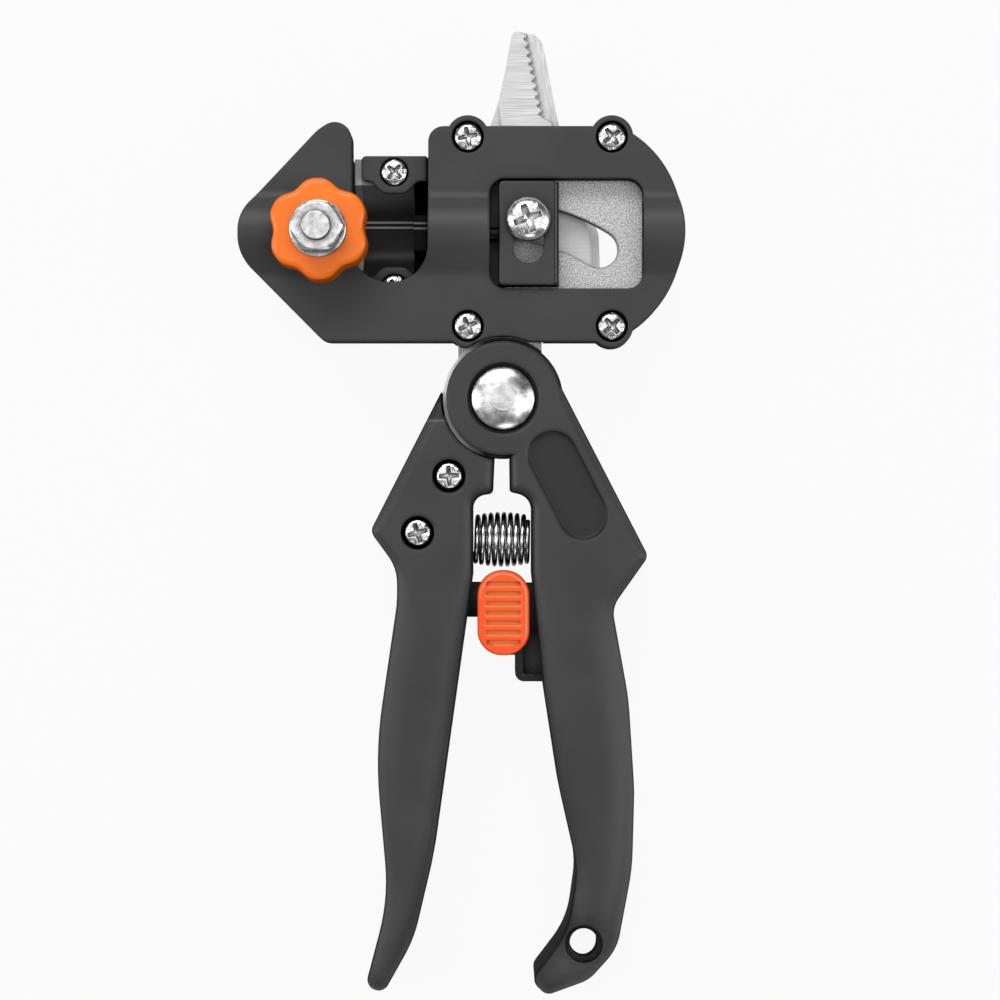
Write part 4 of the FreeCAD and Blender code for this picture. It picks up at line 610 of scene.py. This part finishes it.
def wear(piece, finish):
    """Give every material slot of a piece the finish."""
    if not piece.material_slots:
        piece.data.materials.append(finish)
    for place in piece.material_slots:
        place.material = finish


for label, solid in frame["nodes"].items():
    wear(solid, FINISHES.get(label, NICKEL))
all_finishes = [*FINISHES.values(), NICKEL, DOME_NICKEL, SPRING_WIRE]
print("finishes:", len({finish.name for finish in all_finishes}))

# %% [markdown]
# New surfaces are grids: a function of two parameters gives each point, and the faces join
# neighbours. Every grid here closes on itself across, as a tube does round its wire, and its two
# ends are capped, unless it also closes along, as a ring with a bore does. The volume that the faces
# enclose tells which way they point: inside out it is negative, and then they are turned over.

# %% Grid surfaces
def skin(label, grids, finish, body, stands_for, bored=False):
    """Mesh grids of points of shape (rows, columns, 3), in millimetres, as one piece."""
    points, faces, count = [], [], 0
    for grid in grids:
        rows, columns, _ = grid.shape
        ring = np.arange(columns)
        beside = (ring + 1) % columns
        start = np.arange(rows if bored else rows - 1)[:, None]
        here, there = start * columns, (start + 1) % rows * columns
        quads = np.stack([here + ring, here + beside, there + beside, there + ring], axis=-1).reshape(-1, 4)
        caps = np.stack([ring[::-1], ring + (rows - 1) * columns])[:0 if bored else 2]
        flat = grid.reshape(-1, 3)
        a, b, c, d = (flat[quads[:, k]] - flat.mean(axis=0) for k in range(4))
        if np.sum(np.cross(a, b) * c) + np.sum(np.cross(a, c) * d) < 0:
            quads, caps = quads[:, ::-1], caps[:, ::-1]
        faces += (quads + count).tolist() + (caps + count).tolist()
        points.append(flat)
        count += len(flat)
    mesh = bpy.data.meshes.new(label)
    mesh.from_pydata((np.concatenate(points) * MM).tolist(), [], faces)
    mesh.polygons.foreach_set("use_smooth", np.ones(len(mesh.polygons), dtype=bool))
    mesh.materials.append(finish)
    mesh.update()
    piece = bpy.data.objects.new(label, mesh)
    bpy.context.scene.collection.objects.link(piece)
    if body:
        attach(piece, body)
    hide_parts(*stands_for)
    print(label, count, "points")
    return piece


# %% [markdown]
# The return spring is one bright wire wound as a barrel: its coils swell from the ends to the middle,
# and the last turn at each end lies flat in its grip.
# Its line is an angle that grows steadily, with a radius and a place along X that follow the angle,
# and a circle of the wire's size is carried along it.
# It joins the two grips, but it is attached to neither body, so it keeps this one shape.

# %% Return spring
SPRING_LEFT, SPRING_RIGHT = -6.68, 6.10
SPRING_Y, SPRING_Z = COIL_MIDDLE, 11.0
WIRE = 1.02
END_RADIUS, MIDDLE_RADIUS = 5.0, 5.68
TURNS, FLAT_TURNS, FLAT_PITCH = 8.55, 0.75, 0.35
START_ANGLE = 2.2
WIRE_STEPS, WIRE_SIDES = 620, 14


def ease(share):
    """Turn 0..1 smoothly: three times its square less twice its cube."""
    share = np.clip(share, 0, 1)
    return share * share * (3 - 2 * share)


def spring_line():
    """The wire's middle: a helix about X, whose pitch fades out over the last three quarters of a turn."""
    turn = np.linspace(0, TURNS, WIRE_STEPS)
    open_share = ease(turn / FLAT_TURNS) * ease((TURNS - turn) / FLAT_TURNS)
    advance = np.cumsum(FLAT_PITCH + (1 - FLAT_PITCH) * open_share)
    share = (advance - advance[0]) / (advance[-1] - advance[0])
    radius = END_RADIUS + (MIDDLE_RADIUS - END_RADIUS) * (1 - (2 * share - 1) ** 2)
    across = SPRING_LEFT + WIRE / 2 + share * (SPRING_RIGHT - SPRING_LEFT - WIRE)
    angle = 2 * math.pi * turn + START_ANGLE
    return np.stack([across, SPRING_Y + radius * np.cos(angle), SPRING_Z - radius * np.sin(angle)], axis=-1)


def tube(line, radius, sides, centre):
    """Carry a circle along a line: one axis points away from the centre line, the other is square to it."""
    heading = np.gradient(line, axis=0)
    heading /= np.linalg.norm(heading, axis=1, keepdims=True)
    out = line - centre
    out[:, 0] = 0
    out -= heading * np.sum(out * heading, axis=1, keepdims=True)
    out /= np.linalg.norm(out, axis=1, keepdims=True)
    side = np.cross(heading, out)
    turn = np.linspace(0, 2 * math.pi, sides, endpoint=False)
    round_part = np.cos(turn)[None, :, None] * out[:, None] + np.sin(turn)[None, :, None] * side[:, None]
    return line[:, None] + radius * round_part


coil_centre = np.array([0, SPRING_Y, SPRING_Z])
spring = skin("spring_wire", [tube(spring_line(), WIRE / 2, WIRE_SIDES, coil_centre)],
              SPRING_WIRE, None, ["return_spring"])
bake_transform(spring)

# %% [markdown]
# Every screw has a pan head with a crossed recess, cold-formed in one blow.
# The head is a round grid whose height falls off like a squashed circle, and the cross is taken away
# from that height: two arms that taper outwards and are deepest in the middle.
# Between the arms the punch left short ticks. Under the head the grid goes on as the shank.

# %% Pan heads
ARM_LENGTH, ARM_WIDTH, ARM_TAPER, ARM_SOFT = 0.64, 0.34, 0.32, 0.10
CROSS_DEPTH, CROSS_END_DEPTH = 0.36, 0.1
TICK_FROM, TICK_TO, TICK_SOFT = 0.52, 0.90, 0.15
TICK_OFF, TICK_HALF, TICK_FADE, TICK_DEPTH = 0.2, 0.16, 0.10, 0.11
RIM_SHARE = 0.30
HEAD_RINGS, HEAD_SIDES = 46, 132
UNDERSIDE, TIP_CHAMFER = 0.02, 0.4


def recess(u, v, radius):
    """Depth of the cross at a place (u, v) of the head, in millimetres: the deeper of its two arms."""
    length, width = ARM_LENGTH * radius, ARM_WIDTH * radius

    def arm(far, off):
        half_width = width * (1 - ARM_TAPER * abs(far) / length) / 2
        return ease((half_width - abs(off)) / ARM_SOFT + 0.5) * ease((length - abs(far)) / ARM_SOFT + 0.5)

    deep = CROSS_DEPTH * radius * (1 - 0.5 * np.hypot(u, v) / length)
    cross = np.maximum(arm(u, v), arm(v, u)) * np.maximum(deep, CROSS_END_DEPTH)
    p, q = (u + v) / math.sqrt(2), (u - v) / math.sqrt(2)

    def tick(far, off):
        inside = ease((abs(far) - TICK_FROM * radius) / TICK_SOFT)
        inside = inside * ease((TICK_TO * radius - abs(far)) / TICK_SOFT)
        return inside * ease((TICK_HALF - abs(abs(off) - TICK_OFF)) / TICK_FADE)

    return cross + TICK_DEPTH * np.maximum(tick(p, q), tick(q, p))


def turned(x, y, seat, radii, heights, facing):
    """Rings of a turned part about a line along Z: a radius and a height over the seat for each point."""
    angle = np.linspace(0, 2 * math.pi, radii.shape[1], endpoint=False)
    return np.stack([x + radii * np.cos(angle), y + radii * np.sin(angle),
                     seat + facing * heights], axis=-1)


def pan_screw(x, y, seat, height, radius, shank, length, turn_degrees, facing=1):
    """Head with its cross, rim, neck and shank as one grid of rings from the top's middle to the tip."""
    angle = np.linspace(0, 2 * math.pi, HEAD_SIDES, endpoint=False) + np.zeros((HEAD_RINGS, 1))
    radii = np.linspace(0.02, 1, HEAD_RINGS)[:, None] * radius + 0 * angle
    turn = math.radians(turn_degrees)
    dome = (1 - np.minimum(radii / radius, 1) ** 3.0) ** 0.6
    crown = RIM_SHARE * height + (1 - RIM_SHARE) * height * dome
    crown = crown - recess(radii * np.cos(angle - turn), radii * np.sin(angle - turn), radius)
    below = np.array([[radius, UNDERSIDE], [shank, UNDERSIDE],
                      [shank, -length + TIP_CHAMFER], [shank - TIP_CHAMFER, -length]])
    ring = np.ones((1, angle.shape[1]))
    return turned(x, y, seat, np.concatenate([radii, below[:, :1] * ring]),
                  np.concatenate([crown, below[:, 1:] * ring]), facing)


# Each kind of screw has a seat, a head's height and radius, and a shank's radius; each screw adds its
# place, the shank's length and the cross's turn in degrees.
CASING_KIND, CLAMP_KIND = (20.4, 1.95, 3.3, 1.45), (18.3, 1.45, 3.0, 1.35)
LEFT_KIND, RIGHT_KIND = (19.6, 2.05, 3.45, 1.55), (2.4, 2.0, 3.45, 1.55)
DRIVE_KIND = (23.7, 2.85, 4.92, 2.4)
SCREW_SETS = {
    "casing_screws": ("right_half", [
        (-7.72, 15.86, *CASING_KIND, 14.0, 22), (23.93, 15.86, *CASING_KIND, 7.3, 42),
        (-7.72, 57.48, *CASING_KIND, 14.0, 12), (23.93, 57.48, *CASING_KIND, 7.3, 36)]),
    "clamp_screws": ("slide", [(-24.0, 50.0, *CLAMP_KIND, 7.0, 48), (-24.0, 24.4, *CLAMP_KIND, 7.0, 20)]),
    "left_handle_screws": ("left_half", [
        (-11.9, -17.1, *LEFT_KIND, 9.65, 4), (-18.8, -29.6, *LEFT_KIND, 9.65, 16)]),
    "right_handle_screws": ("right_half", [
        (9.6, -17.5, *RIGHT_KIND, 13.2, 30, -1), (15.0, -29.5, *RIGHT_KIND, 13.2, 65, -1)]),
    "drive_screw": ("left_half", [(5.5, 39.12, *DRIVE_KIND, 13.7, 20)]),
}
for label, (body, screws) in SCREW_SETS.items():
    finish = DOME_NICKEL if label == "drive_screw" else NICKEL
    skin(label + "_crossed", [pan_screw(*screw) for screw in screws], finish, body, [label])

# %% [markdown]
# The pivot bolt's head is a polished dome. It was turned last about its own middle, which left
# a small flat with a fine ring round it. Its height is an ellipse over the radius, and the ring is
# added to it.

# %% Pivot dome
DOME_SEAT, DOME_HEIGHT, DOME_RADIUS, DOME_RIM = 20.7, 2.6, 7.25, 0.35
DOME_FLAT = 0.02
MARK_RADIUS, MARK_HALF, MARK_HEIGHT = 2.75, 0.22, 0.035
PIVOT_RADIUS, PIVOT_TIP, PIVOT_CHAMFER = 3.95, 0.5, 0.6
DOME_RINGS, DOME_SIDES = 60, 144


def domed_bolt():
    """Ellipse from rim to middle, a ring at two fifths of the radius, then rim, neck and shank."""
    ring = np.ones((1, DOME_SIDES))
    radii = np.linspace(0.02, 1, DOME_RINGS)[:, None] * DOME_RADIUS * ring
    share = np.minimum(radii / DOME_RADIUS, 1)
    crown = DOME_RIM + (DOME_HEIGHT - DOME_RIM) * np.sqrt(1 - np.maximum(share ** 2, DOME_FLAT))
    crown = crown + MARK_HEIGHT * np.exp(-((radii - MARK_RADIUS) / MARK_HALF) ** 2)
    tip = PIVOT_TIP - DOME_SEAT
    below = np.array([[DOME_RADIUS, UNDERSIDE], [PIVOT_RADIUS, UNDERSIDE],
                      [PIVOT_RADIUS, tip + PIVOT_CHAMFER], [PIVOT_RADIUS - PIVOT_CHAMFER, tip]])
    return turned(0, 0, DOME_SEAT, np.concatenate([radii, below[:, :1] * ring]),
                  np.concatenate([crown, below[:, 1:] * ring]), 1)


skin("pivot_bolt_domed", [domed_bolt()], DOME_NICKEL, "right_half", ["pivot_bolt"])

# %% [markdown]
# The knob that clamps the anvil is a moulded disc with six soft lobes for the fingers.
# Its outline is a circle whose radius dips six times in a turn, like a sharpened cosine. A section
# with rounded edges is carried round it and back down the bore, so the grid closes both ways.

# %% Knob
KNOB_X, KNOB_Y, KNOB_LOW, KNOB_HIGH = -39.8, 36.0, 25.8, 34.8
KNOB_RADIUS, KNOB_DEPTH, KNOB_LOBES, KNOB_TURN = 11.1, 1.3, 6, 92.0
KNOB_EDGE, KNOB_BORE = 1.5, 3.06
FOOT_INSETS, FOOT_LEVELS = [0.5, 0.15, 0.0], [0.0, 0.1, 0.5]
VALLEY_POWER = 1.6
KNOB_SIDES, EDGE_RINGS, FACE_RINGS, FACE_INSETS = 240, 10, 6, (0.4, 3.0)


def lobed_knob():
    """Radius less depth * ((1 - cos(lobes * (angle - turn))) / 2) ** power, less the edge's rounding."""
    angle = np.linspace(0, 2 * math.pi, KNOB_SIDES, endpoint=False)
    valley = (1 - np.cos(KNOB_LOBES * (angle - math.radians(KNOB_TURN)))) / 2
    outline = KNOB_RADIUS - KNOB_DEPTH * valley ** VALLEY_POWER
    bend = np.linspace(0, math.pi / 2, EDGE_RINGS)
    thick = KNOB_HIGH - KNOB_LOW
    inset = np.concatenate([FOOT_INSETS, KNOB_EDGE * (1 - np.cos(bend)),
                            KNOB_EDGE + np.linspace(*FACE_INSETS, FACE_RINGS)])
    level = np.concatenate([FOOT_LEVELS, thick - KNOB_EDGE + KNOB_EDGE * np.sin(bend),
                            np.full(FACE_RINGS, thick)])
    radii = outline - inset[:, None]
    bore = np.full((2, angle.size), KNOB_BORE)
    heights = np.concatenate([level[:, None] + 0 * angle, [thick + 0 * angle, 0 * angle]])
    return turned(KNOB_X, KNOB_Y, KNOB_LOW, np.concatenate([radii, bore]), heights, 1)


skin("knob_lobed", [lobed_knob()], KNOB, "knob_body", ["knob"], bored=True)

# %% [markdown]
# The metal in the photograph mirrors no orange, so the orange pieces stay out of the reflections.

# %% Orange pieces
for piece in bpy.data.objects:
    if any(place.material in (KNOB, THUMB) for place in piece.material_slots):
        piece.visible_glossy = False

# %% [markdown]
# The floor is a plain pale sheet that the tool lies on. It is mixed with white where a camera,
# a mirror or a clear piece sees it, so that it stays pale and still keeps the shadow.

# %% Floor
FLOOR_SIZE = 6.0
FLOOR_WHITE = 0.93
FIBRE_MM = 3.0


def white_to_camera(tree):
    """1 for rays from the camera, from gloss and through clear pieces, and 0 for all other rays."""
    rays = add(tree, "ShaderNodeLightPath")
    seen = sums(tree, "MAXIMUM", rays.outputs["Is Camera Ray"], rays.outputs["Is Glossy Ray"])
    return sums(tree, "MAXIMUM", seen, rays.outputs["Is Transmission Ray"])


def pale_floor():
    """Matt pale paper, most of it plain white to the camera."""
    material, tree, place, output = start_material("white_paper")
    fibres = span(tree, noise(tree, place, FIBRE_MM, 4.0), 0, 1, *HAZE_WINDOW)
    tone = between(tree, fibres, linear("#BEBEBE"), linear("#C6C6C6"))
    paper = add(tree, "ShaderNodeBsdfDiffuse", {"Color": tone})
    white = add(tree, "ShaderNodeEmission", {"Color": (1.0, 1.0, 1.0, 1.0), "Strength": 1.0})
    mixed = add(tree, "ShaderNodeMixShader", {0: sums(tree, "MULTIPLY", white_to_camera(tree), FLOOR_WHITE),
                                              1: paper.outputs["BSDF"], 2: white.outputs["Emission"]})
    tree.links.new(mixed.outputs["Shader"], output.inputs["Surface"])
    return material


half, floor_level = FLOOR_SIZE / 2, -0.05 * MM
floor_mesh = bpy.data.meshes.new("floor")
corners = [(-half, -half), (half, -half), (half, half), (-half, half)]
floor_mesh.from_pydata([(*corner, floor_level) for corner in corners], [], [(0, 1, 2, 3)])
floor_mesh.materials.append(pale_floor())
floor = bpy.data.objects.new("floor", floor_mesh)
bpy.context.scene.collection.objects.link(floor)

# %% [markdown]
# A studio is a dim room with a few large bright panels, and bright metal shows nothing but them.
# So the room is bright straight overhead and falls off towards the walls. Soft uneven patches, two
# black cards and two white ones, hung well off the middle, give the dome its dark and light areas.

# %% Room
ROOM_TONES = ((0.0, 0.10), (0.35, 0.12), (0.62, 0.16), (0.82, 0.30), (0.94, 0.80), (1.0, 0.90))
ROOM_PATCHES, PATCH_DEPTHS, PATCH_WINDOW, CALM_HEIGHTS = 2.6, (0.3, 1.7), (0.42, 0.58), (0.90, 0.97)
# Each card: the direction of its middle, the cosines at its border and its core, and its brightness.
CARDS = (
    ((0.02, -0.43, 0.90), 0.930, 0.985, 0.10),
    ((0.50, 0.40, 0.77), 0.955, 0.990, 0.20),
    ((0.50, -0.16, 0.85), 0.955, 0.985, 2.8),
    ((-0.45, 0.05, 0.89), 0.960, 0.990, 2.3),
)

world = bpy.data.worlds.new("studio")
bpy.context.scene.world = world
world.use_nodes = True
room = world.node_tree
room.nodes.clear()
heading = add(room, "ShaderNodeTexCoord").outputs["Generated"]
height = along(room, heading, "Z")
tones = add(room, "ShaderNodeValToRGB", {"Fac": height})
tones.color_ramp.elements.remove(tones.color_ramp.elements[1])
for place, tone in ROOM_TONES:
    stop = tones.color_ramp.elements[0] if place == 0 else tones.color_ramp.elements.new(place)
    stop.color = (tone, tone, tone, 1)
patches = add(room, "ShaderNodeTexNoise", {"Vector": heading, "Scale": ROOM_PATCHES, "Detail": 1.0})
uneven = span(room, patches.outputs["Fac"], *PATCH_DEPTHS, *PATCH_WINDOW)
calm = span(room, height, 0, 1, *CALM_HEIGHTS)
uneven = sums(room, "ADD", sums(room, "MULTIPLY", uneven, sums(room, "SUBTRACT", 1.0, calm)), calm)
for middle, border, core, factor in CARDS:
    card = span(room, dot(room, heading, middle), 1, factor, border, core, smooth=True)
    uneven = sums(room, "MULTIPLY", uneven, card)
rays = add(room, "ShaderNodeLightPath").outputs["Is Camera Ray"]
seen_room = between(room, rays, dimmed(room, tones.outputs["Color"], uneven), (1.0, 1.0, 1.0, 1.0))
backdrop = add(room, "ShaderNodeBackground", {"Color": seen_room, "Strength": 1.0})
room.links.new(backdrop.outputs["Background"], add(room, "ShaderNodeOutputWorld").inputs["Surface"])

# %% [markdown]
# The panels: the main one stands beyond the jaws and lights the ridge's upper flank, two narrow ones
# stand low at the sides and draw a soft line down each grip, and a weak one fills the near side.

# %% Panels
AIM = (0, -0.02, 0)
PANELS = {
    "panel_far": ((-0.20, 0.78, 0.80), (1.1, 0.50), 7.6),
    "panel_left": ((-0.95, 0.00, 0.50), (0.50, 1.2), 4.0),
    "panel_right": ((0.95, -0.05, 0.50), (0.50, 1.2), 3.8),
    "panel_near": ((0.15, -1.00, 0.75), (0.7, 0.40), 1.2),
}
for label, (place, size, power) in PANELS.items():
    lamp = bpy.data.objects.new(label, bpy.data.lights.new(label, "AREA"))
    lamp.data.shape = "ELLIPSE"
    lamp.data.size, lamp.data.size_y = size
    lamp.data.energy = power
    lamp.location = place
    lamp.rotation_euler = (Vector(AIM) - lamp.location).to_track_quat("-Z", "Y").to_euler()
    bpy.context.scene.collection.objects.link(lamp)
    print(label, power, "W")
